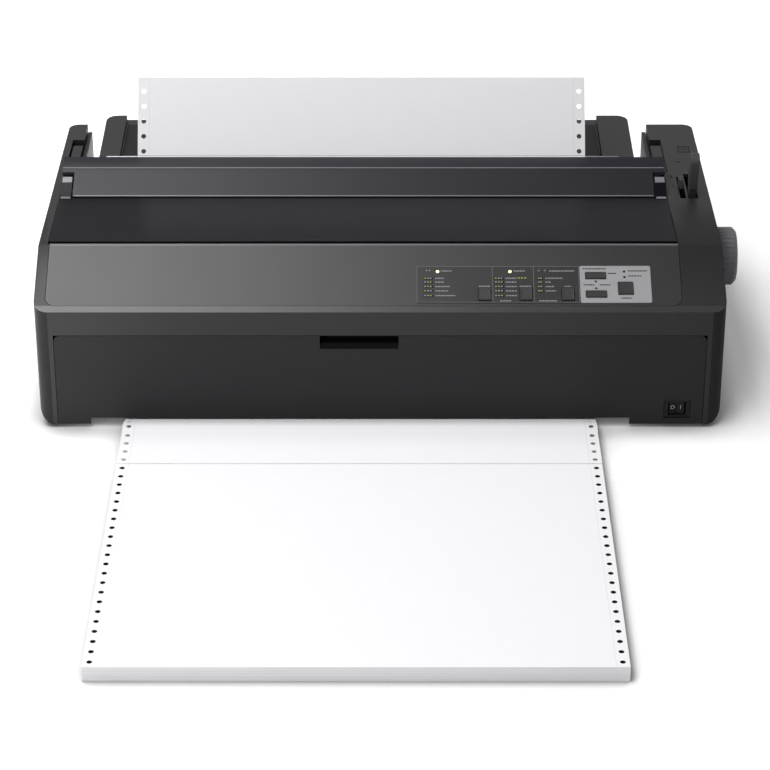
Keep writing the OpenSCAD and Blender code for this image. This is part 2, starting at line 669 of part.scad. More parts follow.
// Marked area and silver plate, thin plates on the fascia
silver_x0 = label_x0 + label_w - silver_w;
module label_plate(x0, x1) on_slope() difference() {
  along_z(0, label_t) round_rect([x0, x1], [label_up, label_up + label_h], 1.5);
  for (b = buttons) translate([b[0], b[1], 0]) cube([b[2] + 2 * gap, b[3] + 2 * gap, 9], center = true);
  for (p = lamps) translate([p[0], p[1], -1]) cylinder(h = 4, r = p[2] + 0.1);
}
module panel_plates() {
  color(charcoal) label_plate(label_x0, silver_x0 - 0.3);
  color(grey) label_plate(silver_x0, label_x0 + label_w);
}
module status_lamps() color([0.8, 0.95, 0.4]) on_slope() for (p = lamps)
  translate([p[0], p[1], -board_down + 0.1]) cylinder(h = board_down + label_t + 0.2, r = p[2]);
module panel_board() color(board_green) on_slope()
  box([board_x[0] - 6, board_x[1] + 6], [2, 38], [-board_down - board_t, -board_down]);

// ---- Front cover ----
fcover_foot = 3;
fcover_r = 5;
cut_side = 27.5;
paper_cut = [paper_x - sheet_w / 2 - cut_side, paper_x + sheet_w / 2 + cut_side];
switch_end = 20.5;
switch_x = fcover_w / 2 - switch_end;
switch_w = 20.5;
switch_z = [8.5, 24];
switch_mid = (switch_z[0] + switch_z[1]) / 2;
switch_d = 28;
lip_in = 2.2;
lip_rise = 4.1;
module front_cover() color(charcoal) difference() {
  union() {
    along_y(0, fcover_t) {
      round_rect([-fcover_w / 2, fcover_w / 2], [fcover_foot, fcover_top], fcover_r);
      translate([-fcover_w / 2, fcover_foot]) square([fcover_w, fcover_r]);
    }
    box([pocket_x - pocket_w / 2 - 1.5, pocket_x + pocket_w / 2 + 1.5], [fcover_t - 1, pocket_d + 1.5],
      [fcover_top - pocket_h - 2, fcover_top]);
    // Stiffening ribs and hinge ears
    box([-fcover_w / 2 + 12, fcover_w / 2 - 12], [fcover_t - 1, fcover_t + 5], [30, 32]);
    mirrored() box([fcover_w / 2 - 8, fcover_w / 2], [fcover_t - 1, fhinge_y + hinge_r + 1],
      [fhinge_z - hinge_r - 1.5, fhinge_z + hinge_r + 1.5]);
    mirrored() rod_x(fcover_w / 2 - 1, fcover_w / 2 + 4, fhinge_y, fhinge_z, hinge_r);
  }
  box(paper_cut, [-1, 20], [0, fcover_low]);
  along_x(pocket_x - pocket_w / 2, pocket_x + pocket_w / 2) polygon([[-1, fcover_top - pocket_h],
    [0, fcover_top - pocket_h], [lip_in, fcover_top - pocket_h + lip_rise],
    [pocket_d, fcover_top - pocket_h + lip_rise + 0.8], [pocket_d, fcover_top + 1], [-1, fcover_top + 1]]);
  box([switch_x - switch_w / 2 - gap, switch_x + switch_w / 2 + gap], [-1, 20],
    [switch_z[0] - gap, switch_z[1] + gap]);
}

// Power switch with a rocker that tips about an upright axis
rocker_w = 13;
rocker_h = 11.5;
rocker_y = 6;
rocker_pin_r = 1.1;
module power_switch() color(black) difference() {
  union() {
    box([switch_x - switch_w / 2, switch_x + switch_w / 2], [1, switch_d],
      [switch_z[0] + gap, switch_z[1]]);
    box([switch_x - 6, switch_x + 6], [column_d + 2, switch_d - 1], [floor_z, switch_z[0] + 1]);
  }
  along_y(-1, 14) round_rect([switch_x - rocker_w / 2 - 0.6, switch_x + rocker_w / 2 + 0.6],
    [switch_mid - rocker_h / 2 - gap, switch_mid + rocker_h / 2 + gap], 0.8);
  rod_z(switch_z[0] + gap + 0.25, switch_z[1] - gap, switch_x, rocker_y, rocker_pin_r + run);
}
module power_rocker() color(black) {
  translate([switch_x, rocker_y, switch_mid - rocker_h / 2]) linear_extrude(rocker_h)
    polygon([[-rocker_w / 2 + 0.5, -3.6], [0, -1.4], [rocker_w / 2 - 0.5, -3], [rocker_w / 2 - 1.2, 1],
      [0, 3.5], [-rocker_w / 2 + 1.2, 1]]);
  rod_z(switch_mid - rocker_h / 2 - 1.2, switch_mid + rocker_h / 2 + 1.2, switch_x, rocker_y, rocker_pin_r);
}

// ---- Top covers ----
riser_pts = [[riser_y, ridge_z + 1], [crest_y, crest_z], [cover_back_y, cover_back_z]];
notch_y = whinge_y + 9.5;
left_arm = [cover_x0 + gap, cover_x0 + gap + arm_w - 1];
right_arm = [slot_right[1] - gap - arm_w, slot_right[1] - gap];
whinge_boss = 3.2;
whinge_pin = 1.6;
pin_l = 4;
arm_end_r = 9;
arm_y = rear_deck_y - 6;
// An arm is narrow under the cover and fills its slot behind the deck's edge
module cover_arm(x, x_front) {
  along_x(x_front[0], x_front[1]) polygon([[crest_y - 2, crest_z - 2], [cover_back_y, cover_back_z - 1],
    [slot_y[0] - 4, deck_z - 0.8], [slot_y[0], rhinge_z - 6], [slot_y[0] - 10, rhinge_z - 6],
    [crest_y + 4, ridge_z + 1]]);
  box(x, [arm_y, rhinge_y], [rhinge_z - 6, rhinge_z + arm_end_r]);
  rod_x(x[0], x[1], rhinge_y, rhinge_z, arm_end_r);
  rod_x(x[0] - 2.4, x[1] + 2.4, rhinge_y, rhinge_z, hinge_r);
}
module rear_cover() color(smoke) difference() {
  union() {
    difference() {
      along_x(cover_x0 + gap, cover_x1 - gap) polygon(band(riser_pts, 0, -cover_t));
      // Notches for the window's ears
      box([cover_x0 - 1, cover_x0 + ear_w + 2 * gap], [0, notch_y], [0, 2 * ridge_z]);
      box([cover_x1 - ear_w - 2 * gap, cover_x1 + 1], [0, notch_y], [0, 2 * ridge_z]);
    }
    for (x = [cover_x0 + ear_w + 2 * gap, cover_x1 - ear_w - 2 * gap - pin_l - 2])
      rod_x(x, x + pin_l + 2, whinge_y, whinge_z, whinge_boss);
    cover_arm(left_arm, left_arm);
    cover_arm(right_arm, [right_arm[0], cover_x1 - gap]);
  }
  for (x = [cover_x0 + ear_w, cover_x1 - ear_w - 2 * gap - pin_l - 0.4])
    rod_x(x, x + 2 * gap + pin_l + 0.4, whinge_y, whinge_z, whinge_pin + run);
}
ear_pts = [[riser_y - 6, ridge_z], [riser_y, ridge_z + 1.2], [whinge_y + 5, whinge_z + 5.5]];
module front_window() color(smoke) {
  box([cover_x0 + gap, cover_x1 - gap], [window_y, riser_y - 0.7], [ridge_z - cover_t, ridge_z]);
  for (x = [[cover_x0 + gap, cover_x0 + ear_w], [cover_x1 - ear_w, cover_x1 - gap]]) {
    along_x(x[0], x[1]) polygon(band(ear_pts, 0, -cover_t));
    rod_x(x[0], x[1], whinge_y, whinge_z, whinge_boss);
  }
  rod_x(cover_x0 + ear_w - 1, cover_x0 + ear_w + 2 * gap + pin_l, whinge_y, whinge_z, whinge_pin);
  rod_x(cover_x1 - ear_w - 2 * gap - pin_l, cover_x1 - ear_w + 1, whinge_y, whinge_z, whinge_pin);
}

// ---- Paper guide, drawn level with its top rear edge at the origin ----
guide_l = guide_end_y - guide_piv_y + 8;
guide_corner = 10;
plate_down = 4.2;
guide_rib_pitch = 75;
module on_guide() translate([0, guide_end_y, guide_top]) rotate([guide_rise, 0, 0]) children();
module paper_guide() color(charcoal) {
  on_guide() {
    intersection() {
      for (x = [[guide_x0, guide_x0 + guide_arm_w], [guide_x1 - guide_right_w, guide_x1]]) difference() {
        box(x, [-guide_l, 0], [-guide_arm_h, 0]);
        box([x[0] + 2, x[1] - 2], [-guide_l + 14, -2], [-guide_arm_h - 1, -2]);
      }
      along_z(-40, 1) round_rect([guide_x0, guide_x1], [-guide_l - 20, 0], guide_corner);
    }
    box([guide_x0 + guide_arm_w - 1, guide_x1 - guide_right_w + 1], [-guide_l + 4, 0],
      [-plate_down - guide_plate_t, -plate_down]);
    // Ribs under the plate
    for (i = [-2:2]) let (x = (guide_x0 + guide_x1) / 2 + guide_rib_pitch * i)
      box([x - 1, x + 1], [-guide_l + 8, -4], [-plate_down - guide_plate_t - 6, -plate_down - 1]);
  }
  rod_x(guide_x0 - gap - guide_ear_t, guide_x0 + 3, guide_piv_y, guide_piv_z, guide_pin_r);
  rod_x(guide_x1 - 3, guide_x1 + gap + guide_ear_t, guide_piv_y, guide_piv_z, guide_pin_r);
}
edge_guide_w = 15;
edge_guide_l = 62;
module edge_guide(x0, x1, fence_x) on_guide() {
  box([x0, x1], [-edge_guide_l - 14, -14], [-plate_down + 0.3, -plate_down + 2]);
  box([fence_x, fence_x + 1.6], [-edge_guide_l - 14, -14], [-plate_down + 1, -0.4]);
}
edge_left = guide_x0 + guide_arm_w + 0.6;
edge_right = guide_x1 - guide_right_w - 0.6;
module edge_guide_left() color(black) edge_guide(edge_left, edge_left + edge_guide_w, edge_left);
module edge_guide_right() color(black) edge_guide(edge_right - edge_guide_w, edge_right, edge_right - 1.6);

// ---- Metal frame ----
bush_r = 7;
bush_flange = 3;
rail_y = [49, 61];
rail_z = [56, 100];
frame_pts = [[frame_y[0], floor_z], [frame_y[1], floor_z], [frame_y[1], 58], [frame_y[1] - 38, frame_top],
  [frame_y[0], frame_top]];
module frame_plate(x0, flange) difference() {
  union() {
    along_x(x0, x0 + plate_t) polygon(frame_pts);
    box(flange, [frame_y[0], frame_y[1] - 10], [floor_z, floor_z + plate_t]);
  }
  rod_x(x0 - 1, x0 + plate_t + 1, platen_y, platen_z, bush_r + gap / 4);
  rod_x(x0 - 1, x0 + plate_t + 1, guide_y, guide_z, guide_r + run);
  rod_x(x0 - 1, x0 + plate_t + 1, bar_c[0], bar_c[1], bar_r + run);
  rod_x(x0 - 1, x0 + plate_t + 1, square_c[0], square_c[1], square_s / 2 + 1.5 + run);
  for (p = screw_places) rod_z(0, 20, p[0], p[1], screw_r + run);
}
module frame_left() color(steel) frame_plate(frame_x0 - plate_t, [frame_x0 - 1, frame_x0 + 14]);
module frame_right() color(steel) {
  difference() {
    frame_plate(frame_x1, [frame_x1 - 14, frame_x1 + 1]);
    rod_x(frame_x1 - 1, frame_x1 + 3, pinion_c[0], pinion_c[1], 5);
    rod_x(frame_x1 - 1, frame_x1 + 3, lever_y, lever_z, lever_pin_r + run);
  }
  // Stud that carries the idler gear
  rod_x(frame_x1 + 0.5, gear_x + gear_w + 0.6, idler_c[0], idler_c[1], stud_r);
}
module frame_brace() color(steel) along_x(frame_x0 + gap / 2, frame_x1 - gap / 2) difference() {
  translate([brace_y[0], floor_z + plate_t + 0.2]) square([brace_y[1] - brace_y[0], 36]);
  translate([brace_y[0] + plate_t, floor_z]) square([brace_y[1] - brace_y[0] - 2 * plate_t, 36]);
}
motor_x = frame_x0 + 25;
idler_x = frame_x1 - 20;
pulley_z = guide_z + 1;
stub_r = 2.5;
module front_rail() color(steel) difference() {
  union() {
    box([frame_x0 + gap / 2, frame_x1 - gap / 2], [rail_y[0], rail_y[0] + plate_t], rail_z);
    box([frame_x0 + gap / 2, frame_x1 - gap / 2], rail_y, [rail_z[1] - plate_t, rail_z[1]]);
    // Stub that carries the idler pulley
    rod_y(rail_y[0] + plate_t - 0.2, rail_y[0] + plate_t + belt_w + 3, idler_x, pulley_z, stub_r);
  }
  rod_y(rail_y[0] - 1, rail_y[0] + 3, motor_x, pulley_z, 5);
}
module guide_shaft() color(steel) rod_x(frame_x0 - 5, frame_x1 + 3.6, guide_y, guide_z, guide_r);

// ---- Carriage, belt and motors ----
belt_y = rail_y[0] + plate_t + 1.5;
belt_r = pulley_r + belt_t;
carriage_y = [guide_y - 14, guide_y + 24];
carriage_z = [guide_z - 14, guide_z + 14];
slide_y = rail_y[1] + 0.4;
clamp_w = 10;
module carriage() color(black) difference() {
  translate([park_x, 0, 0]) union() {
    box([-carriage_w / 2, carriage_w / 2], carriage_y, carriage_z);
    // Slider that grips the rail's flange
    box([-12, 12], [rail_y[0] + 5, carriage_y[0] + 1],
      [rail_z[1] - plate_t - 5.4, rail_z[1] - plate_t - 0.4]);
    box([-12, 12], [slide_y, slide_y + 2.6], [rail_z[1] - plate_t - 5, rail_z[1] + 2.6]);
    box([-12, 12], [rail_y[1] - 5, slide_y + 2.6], [rail_z[1] + 0.4, rail_z[1] + 2.6]);
    box([-12, 12], [slide_y - 1, carriage_y[0] + 1], [carriage_z[1] - 8, rail_z[1] - plate_t - 1]);
    // Belt clamp
    box([-clamp_w / 2, clamp_w / 2], [belt_y - 0.8, belt_y + belt_w + 4],
      [pulley_z + pulley_r - 2.4, rail_z[1] - plate_t - 1]);
  }
  rod_x(park_x - carriage_w, park_x + carriage_w, guide_y, guide_z, guide_r + run);
  box([park_x - carriage_w, park_x + carriage_w], [belt_y - 0.4, belt_y + belt_w + 0.4],
    [pulley_z + pulley_r - 0.4, pulley_z + belt_r + 0.4]);
}
head_y = [guide_y + 1, guide_y + 26];
head_nose_y = platen_y - platen_wrap - paper_t / 2 - 1.4;
head_w = 34;
nose_w = 16;
fin_n = 6;
module print_head() color(dark_steel) translate([park_x, 0, 0]) difference() {
  union() {
    box([-head_w / 2, head_w / 2], head_y, [carriage_z[1] + 0.2, carriage_z[1] + 24]);
    box([-nose_w / 2, nose_w / 2], [head_y[1] - 1, head_nose_y], [platen_z - 6, platen_z + 7]);
    box([-nose_w / 2, nose_w / 2], [head_y[1] - 1, head_nose_y - 3], [platen_z, carriage_z[1] + 14]);
  }
  // Cooling fins
  for (i = [0:fin_n - 1]) let (x = -head_w / 2 + 3 + i * 5.2)
    box([x, x + 2.6], [head_y[0] - 1, head_y[1] - 4], [carriage_z[1] + 12, carriage_z[1] + 30]);
}
module carriage_belt() color(rubber) along_y(belt_y, belt_y + belt_w) difference() {
  belt_loop(belt_r);
  belt_loop(pulley_r + 0.1);
}
module belt_loop(r) {
  translate([motor_x, pulley_z]) circle(r);
  translate([idler_x, pulley_z]) circle(r);
  translate([motor_x, pulley_z - r]) square([idler_x - motor_x, 2 * r]);
}
module pulley(x) {
  rod_y(belt_y - 0.2, belt_y + belt_w + 0.2, x, pulley_z, pulley_r);
  rod_y(belt_y + belt_w + 0.2, belt_y + belt_w + 1.4, x, pulley_z, pulley_r + 2);
}
module drive_pulley() color(steel) {
  pulley(motor_x);
  rod_y(rail_y[0] - 4, belt_y, motor_x, pulley_z, stub_r);
}
module idler_pulley() color(steel) difference() {
  pulley(idler_x);
  rod_y(0, belt_y + 20, idler_x, pulley_z, stub_r + run);
}
module stepper(l) difference() {
  union() {
    translate([-motor_s / 2, -motor_s / 2, 0]) cube([motor_s, motor_s, l]);
    translate([0, 0, l - 0.5]) cylinder(h = 1.9, r = 4.6);
  }
  translate([0, 0, l - 5]) cylinder(h = 10, r = stub_r + run);
}
carriage_motor_l = 33;
module carriage_motor() color(dark_steel)
  translate([motor_x, rail_y[0] - carriage_motor_l - 0.1, pulley_z]) rotate([-90, 0, 0])
    stepper(carriage_motor_l);
feed_motor_l = 40;
module feed_motor() color(dark_steel)
  translate([frame_x1 - feed_motor_l - 0.1, pinion_c[0], pinion_c[1]]) rotate([0, 90, 0])
    stepper(feed_motor_l);

// ---- Ribbon ----
cartridge_y = [64, 84];
cartridge_z = [frame_top + 0.3, frame_top + 21];
cartridge_x = [frame_x0 + 0.8, frame_x1 - 0.8];
ribbon_y = head_nose_y + 0.4;
ribbon_z = [platen_z - 6, platen_z + 7];
arm_x = 13;
knob_place = [frame_x0 + 34, (cartridge_y[0] + cartridge_y[1]) / 2];
module ribbon_cartridge() color(black) difference() {
  union() {
    box(cartridge_x, cartridge_y, cartridge_z);
    for (x = [cartridge_x[0], cartridge_x[1] - arm_x]) {
      box([x, x + arm_x], [cartridge_y[1] - 1, ribbon_y + 1.4], [cartridge_z[0], cartridge_z[1] - 4]);
      box([x, x + arm_x], [ribbon_y - 11, ribbon_y + 1.4], [ribbon_z[0] - 3, cartridge_z[0] + 1]);
    }
    // Ears that rest on the frame plates
    box([frame_x0 - plate_t - 2, cartridge_x[0] + 1], [cartridge_y[0] + 3, cartridge_y[1] - 3],
      [cartridge_z[0], cartridge_z[0] + 5]);
    box([cartridge_x[1] - 1, frame_x1 + plate_t + 2], [cartridge_y[0] + 3, cartridge_y[1] - 3],
      [cartridge_z[0], cartridge_z[0] + 5]);
  }
  rod_z(cartridge_z[1] - 6, cartridge_z[1] + 1, knob_place[0], knob_place[1], 3 + run);
  // Slits that hold the ribbon
  box([cartridge_x[0] + arm_x - 4, cartridge_x[1] - arm_x + 4], [ribbon_y - 0.35, ribbon_y + 0.65],
    [ribbon_z[0] - 0.3, ribbon_z[1] + 0.3]);
}
module ribbon_knob() color(grey) {
  rod_z(cartridge_z[1] - 5.5, cartridge_z[1] + 1, knob_place[0], knob_place[1], 3);
  along_z(cartridge_z[1] + 0.3, cartridge_z[1] + 3.6) translate(knob_place) knurl(7, 16);
}
module knurl(r, n) difference() {
  circle(r);
  for (i = [0:n - 1]) rotate(i * 360 / n) translate([r + 0.4, 0]) circle(1, $fn = 12);
}
module ribbon() color(black) box([cartridge_x[0] + arm_x - 3.6, cartridge_x[1] - arm_x + 3.6],
  [ribbon_y, ribbon_y + 0.3], ribbon_z);

// ---- Platen and gears ----
platen_x0 = paper_x - platen_l / 2 + 1;
shaft_x = [frame_x0 - 4.6, half_w + knob_l - 4];
module platen_roller() color(rubber) difference() {
  rod_x(platen_x0, platen_x0 + platen_l, platen_y, platen_z, platen_r);
  rod_x(platen_x0 - 1, platen_x0 + platen_l + 1, platen_y, platen_z, platen_core_r);
}
module platen_shaft() color(steel) {
  rod_x(shaft_x[0], shaft_x[1], platen_y, platen_z, shaft_r);
  // Hubs that carry the rubber sleeve
  for (x = [platen_x0 + 1, platen_x0 + platen_l / 2 - 4, platen_x0 + platen_l - 9])
    rod_x(x, x + 8, platen_y, platen_z, platen_core_r - seat);
}
module platen_bush(x0, out) difference() {
  union() {
    rod_x(x0 - 1.2, x0 + plate_t + 1.2, platen_y, platen_z, bush_r);
    rod_x(out, out + 1.8, platen_y, platen_z, bush_r + bush_flange);
  }
  rod_x(x0 - 9, x0 + 12, platen_y, platen_z, shaft_r + run);
}
module platen_bushes() color(white) {
  platen_bush(frame_x0 - plate_t, frame_x0 - plate_t - 2);
  platen_bush(frame_x1, frame_x1 + plate_t + 0.2);
}
seat = 0.02;
module platen_gear() color(white) difference() {
  gear(platen_n, platen_c, 0);
  gear_bore(platen_c, shaft_r + seat);
}
knob_x = [half_w + 1.4, half_w + 1.4 + knob_l];
module platen_knob() color(grey) difference() {
  union() {
    translate([0, platen_y, platen_z]) rotate([90, 0, 90]) {
      translate([0, 0, knob_x[0]]) cylinder(h = 2, r1 = knob_d / 2 - 2, r2 = knob_d / 2);
      translate([0, 0, knob_x[0] + 2]) linear_extrude(knob_l - 5) knurl(knob_d / 2, 36);
      translate([0, 0, knob_x[1] - 3]) cylinder(h = 3, r1 = knob_d / 2, r2 = knob_d / 2 - 3);
    }
    rod_x(half_w - 10, knob_x[0] + 1, platen_y, platen_z, knob_neck_r);
  }
  rod_x(half_w - 20, half_w + knob_l - 3.5, platen_y, platen_z, shaft_r + seat);
}
stud_r = 3;
module idler_gear() color(white) difference() {
  gear(idler_n, idler_c, idler_phase);
  gear_bore(idler_c, stud_r + run);
}
module feed_pinion() color(steel) {
  gear(pinion_n, pinion_c, pinion_phase);
  rod_x(frame_x1 - 4, gear_x + 1, pinion_c[0], pinion_c[1], stub_r);
}

// ---- Tractors ----
hub_r = 6;
tract_x = holes_x;
hub_l = tractor_w + 3;
module tractor_shaft() color(steel) {
  x1 = gear_x - 0.4;
  translate([0, square_c[0], square_c[1]]) {
    translate([frame_x0 + 1, -square_s / 2, -square_s / 2]) cube([x1 - frame_x0 - 1, square_s, square_s]);
    for (x = tract_x) translate([x - hub_l / 2, 0, 0]) rotate([0, 90, 0]) cylinder(h = hub_l, r = hub_r);
  }
  // Round journals in the frame plates
  rod_x(frame_x0 - plate_t - 1, frame_x0 + 2, square_c[0], square_c[1], square_s / 2 + 1.5);
  rod_x(frame_x1 - 2, gear_x, square_c[0], square_c[1], square_s / 2 + 1.5);
  gear(tractor_n, square_c, tractor_phase);
}
module tractor_bar() color(steel)
  rod_x(frame_x0 - plate_t - 2, frame_x1 + plate_t + 2, bar_c[0], bar_c[1], bar_r);
tractor_r = sprocket_r - 0.7;
pin_r = 1.4;
pin_up = 1.4;
tract_start = start(on_ramp) + (tract_y[0] - bend_in_y) / cos(feed_slope);
first_pin = ceil((tract_start - first_hole) / hole_pitch);
pins = [for (k = [0:2]) hole_at(first_pin + k) - tract_start];
flap_x = [-9, 6.6];
flap_y = [2, 32];
flap_z = [1, 3];
flap_axis = [9.4, 1.6];
flap_pin_r = 1;
flap_barrel_r = 1.9;
ear_l = 3;
// Frame of a tractor: local y runs along the web, z stands on it, x points outwards
module on_web(i) translate([tract_x[i], tract_y[0], web_z(tract_y[0])]) mirror([i == 0 ? 1 : 0, 0, 0])
  rotate([feed_slope, 0, 0]) children();
module tractor(i) on_web(i) difference() {
  union() {
    for (y = [0, tractor_l]) rod_x(-tractor_w / 2, tractor_w / 2, y, -sprocket_r, tractor_r);
    box([-tractor_w / 2, tractor_w / 2], [0, tractor_l],
      [-sprocket_r - tractor_r, -sprocket_r + tractor_r]);
    // Pins that drive the paper
    for (y = pins) rod_z(-1, pin_up, 0, y, pin_r);
    // Ears and pin of the flap's hinge, outside the paper's edge
    for (y = [flap_y[0], flap_y[1] - ear_l])
      box([flap_axis[0] - 2, tractor_w / 2], [y, y + ear_l], [-2, flap_axis[1] + flap_barrel_r]);
    rod_y(flap_y[0] + 1, flap_y[1] - 1, flap_axis[0], flap_axis[1], flap_pin_r);
  }
  rod_x(-tractor_w, tractor_w, 0, -sprocket_r, bar_r + run);
  rod_x(-tractor_w, tractor_w, tractor_l, -sprocket_r, hub_r + run);
}
module tractor_left() color(black) tractor(0);
module tractor_right() color(black) tractor(1);
module tractor_flap(i) on_web(i) difference() {
  barrel_y = [flap_y[0] + ear_l + gap, flap_y[1] - ear_l - gap];
  union() {
    box(flap_x, flap_y, flap_z);
    box([flap_x[1] - 1, flap_axis[0]], barrel_y, flap_z);
    rod_y(barrel_y[0], barrel_y[1], flap_axis[0], flap_axis[1], flap_barrel_r);
  }
  box([-2.4, 2.4], [flap_y[0] + 3, flap_y[1] - 3], [0, 5]);
  rod_y(0, flap_y[1] + 5, flap_axis[0], flap_axis[1], flap_pin_r + run);
}
module tractor_flap_left() color(charcoal) tractor_flap(0);
module tractor_flap_right() color(charcoal) tractor_flap(1);

// Guides that the paper slides on: ramp, chute round the carriage and exit plate
chute_gap = 0.6;
chute_t = 1.4;
ramp_feet_y = [44, 82];
ramp_x = [tract_x[0] + tractor_w / 2 + 2, tract_x[1] - tractor_w / 2 - 2];
chute_x = [frame_x0 + 0.3, frame_x1 - 0.3];
exit_from = 0.5;
exit_path = concat([let (p = step(place(on_over), [over_l * exit_from, 0])) [p[0], p[1]]],
  path(on_exit, on_exit));
module paper_chutes() color(dark_steel) {
  d = -paper_t / 2 - chute_gap;
  along_x(ramp_x[0], ramp_x[1]) polygon(band([[bend_in_y, bend_in_z], [rise_y - 2, web_z(rise_y - 2)]],
    d, d - chute_t));
  for (x = [ramp_x[0] + 20, ramp_x[1] - 22], y = ramp_feet_y)
    box([x, x + 2], [y - 5, y + 5], [floor_z, web_z(y - 5) - chute_gap - chute_t]);
  along_x(chute_x[0], chute_x[1]) polygon(band(path(on_bend, on_bend), d, d - chute_t));
  along_x(chute_x[0], chute_x[1]) polygon(band(exit_path, d, d - chute_t));
  for (x = [chute_x[0], chute_x[1] - chute_t]) along_x(x, x + chute_t)
    polygon([exit_path[0] + [0.5, -2], exit_path[1] + [0, -2], [frame_y[1] - 44, frame_top - 12],
      [exit_path[0][0] + 1, frame_top - 12]]);
}

// ---- Levers ----
thick_tilt = 8;
release_tilt = -12;
lever_hub_r = 7;
module lever(x, tilt, top, arm, head, head_from) translate([0, lever_y, lever_z]) rotate([-tilt, 0, 0])
  difference() {
  l = (top - lever_z) / cos(tilt);
  union() {
    rod_x(x[0], x[1], 0, 0, lever_hub_r);
    box(x, [-arm, arm], [0, l - head]);
    box(x, [-head, head], [head_from, l - head]);
    rod_x(x[0], x[1], 0, l - head, head);
  }
  rod_x(x[0] - 1, x[1] + 1, 0, 0, lever_pin_r + run);
}
module lever_pin() color(steel) rod_x(frame_x1 - 0.1, half_w - 1, lever_y, lever_z, lever_pin_r);
module thickness_lever() color(grey)
  lever([lever_slots[0][0] + 0.5, lever_slots[0][1] - 0.5], thick_tilt, thick_top, 2.4, 3, 40);
module release_lever() color(grey)
  lever([lever_slots[1][0] + 0.5, lever_slots[1][1] - 0.5], release_tilt, release_top, 3, 6, 50);

// ---- Electronics ----
// Chips: [x, y, width, depth, height] from the board's front left corner; cans: [x, y, radius, height]
chips = [[20, 14, 34, 24, 4], [80, 19, 18, 18, 3], [120, 12, 30, 12, 4], [180, 18, 14, 30, 8]];
cans = [[210, 14, 6, 16], [210, 30, 6, 16], [210, 46, 4, 12], [50, 48, 4, 12]];
core_x = [50, 94];
core_h = 34;
can_x = [16, 36];
can_r = 9;
can_h = 32;
sink_x = 106;
sink_h = 36;
module main_board() {
  color(board_green) box(main_x, main_y, [board_z, board_z + board_t]);
  color(black) translate([main_x[0], main_y[0], board_z + board_t]) {
    for (c = chips) box([c[0], c[0] + c[2]], [c[1], c[1] + c[3]], [0, c[4]]);
    for (c = cans) rod_z(0, c[3], c[0], c[1], c[2]);
  }
  color(steel) for (i = [0, 1])
    box([port_x[i] - port_w[i] / 2, port_x[i] + port_w[i] / 2], [main_y[1] - 6, body_d - 0.5],
      [port_base, port_base + port_h[i]]);
}
module power_supply() {
  color(board_green) box(psu_x, psu_y, [board_z, board_z + board_t]);
  translate([psu_x[0], 0, board_z + board_t]) {
    color([0.75, 0.6, 0.2]) box(core_x, [psu_y[0] + 8, psu_y[1] - 12], [0, core_h]);
    color(black) for (x = can_x) rod_z(0, can_h, x, psu_y[0] + 16, can_r);
    color(steel) box([sink_x, sink_x + 4], [psu_y[0] + 4, psu_y[1] - 8], [0, sink_h]);
  }
}
module mains_inlet() color(black) difference() {
  box([inlet_x - inlet_w / 2, inlet_x + inlet_w / 2], [psu_y[1] + 3, body_d - 0.3],
    [inlet_z - inlet_h / 2, inlet_z + inlet_h / 2]);
  box([inlet_x - 11, inlet_x + 11], [body_d - 16, body_d + 1], [inlet_z - 7.5, inlet_z + 7.5]);
}
module screws() color(steel) for (p = screw_places) {
  rod_z(foot_h + 0.4, floor_z + plate_t + 0.1, p[0], p[1], screw_r);
  rod_z(floor_z + plate_t, floor_z + plate_t + 2, p[0], p[1], screw_head_r);
}

// ---- Paper ----
paper_xs = [paper_x - sheet_w / 2, paper_x + sheet_w / 2];
module paper_stack() color(white) difference() {
  box(paper_xs, [-stack_gap - sheet_l, -stack_gap], [0, stack_h]);
  for (i = [0:floor((sheet_l - first_hole) / hole_pitch)], x = holes_x)
    rod_z(-1, stack_h + 1, x, -stack_gap - hole_at(i), hole_r);
}
// The web and its free end start a little after the fold and the exit
end_gap = 0.3;
module paper_web() color(white) difference() {
  along_x(paper_xs[0], paper_xs[1]) polygon(band(concat(
    [[-stack_gap + end_gap, fold_z]], path(1, on_exit)), paper_t / 2, -paper_t / 2));
  for (k = [0:web_holes]) feed_hole(hole_at(k));
}
module paper_end() color(white) difference() {
  along_x(paper_xs[0], paper_xs[1]) polygon(band([[exit_place[0] + end_gap * cos(exit_slope),
    exit_place[1] + end_gap * sin(exit_slope)], [exit_place[0] + free_l * cos(exit_slope),
    exit_place[1] + free_l * sin(exit_slope)]], paper_t / 2, -paper_t / 2));
  for (k = [web_holes + 1:web_holes + floor(free_l / hole_pitch)]) feed_hole(hole_at(k));
}

// The middle of the whole set-up, paper and knob included, is the origin
origin_x = (knob_x[1] - half_w) / 2;
origin_y = (guide_end_y + guide_arm_h * sin(guide_rise) - stack_gap - sheet_l) / 2;
module placed() translate([-origin_x, -origin_y, 0]) children();
placed() lower_case();
placed() upper_case();
placed() rubber_feet();
placed() control_fascia();
placed() panel_plates();
placed() status_lamps();
placed() button_font();
placed() button_pitch();
placed() button_function();
placed() button_load();
placed() button_feed();
placed() button_pause();
placed() panel_board();
placed() front_cover();
placed() power_switch();
placed() power_rocker();
placed() rear_cover();
placed() front_window();
placed() paper_guide();
placed() edge_guide_left();
placed() edge_guide_right();
placed() frame_left();
placed() frame_right();
placed() frame_brace();
placed() front_rail();
placed() guide_shaft();
placed() carriage();
placed() print_head();
placed() carriage_belt();
placed() drive_pulley();
placed() idler_pulley();
placed() carriage_motor();
placed() ribbon_cartridge();
placed() ribbon_knob();
placed() ribbon();
placed() platen_roller();
placed() platen_shaft();
placed() platen_bushes();
placed() platen_gear();
placed() platen_knob();
placed() idler_gear();
placed() feed_pinion();
placed() feed_motor();
placed() tractor_shaft();
placed() tractor_bar();
placed() tractor_left();
placed() tractor_right();
placed() tractor_flap_left();
placed() tractor_flap_right();
placed() paper_chutes();
placed() lever_pin();
placed() thickness_lever();
placed() release_lever();
placed() main_board();
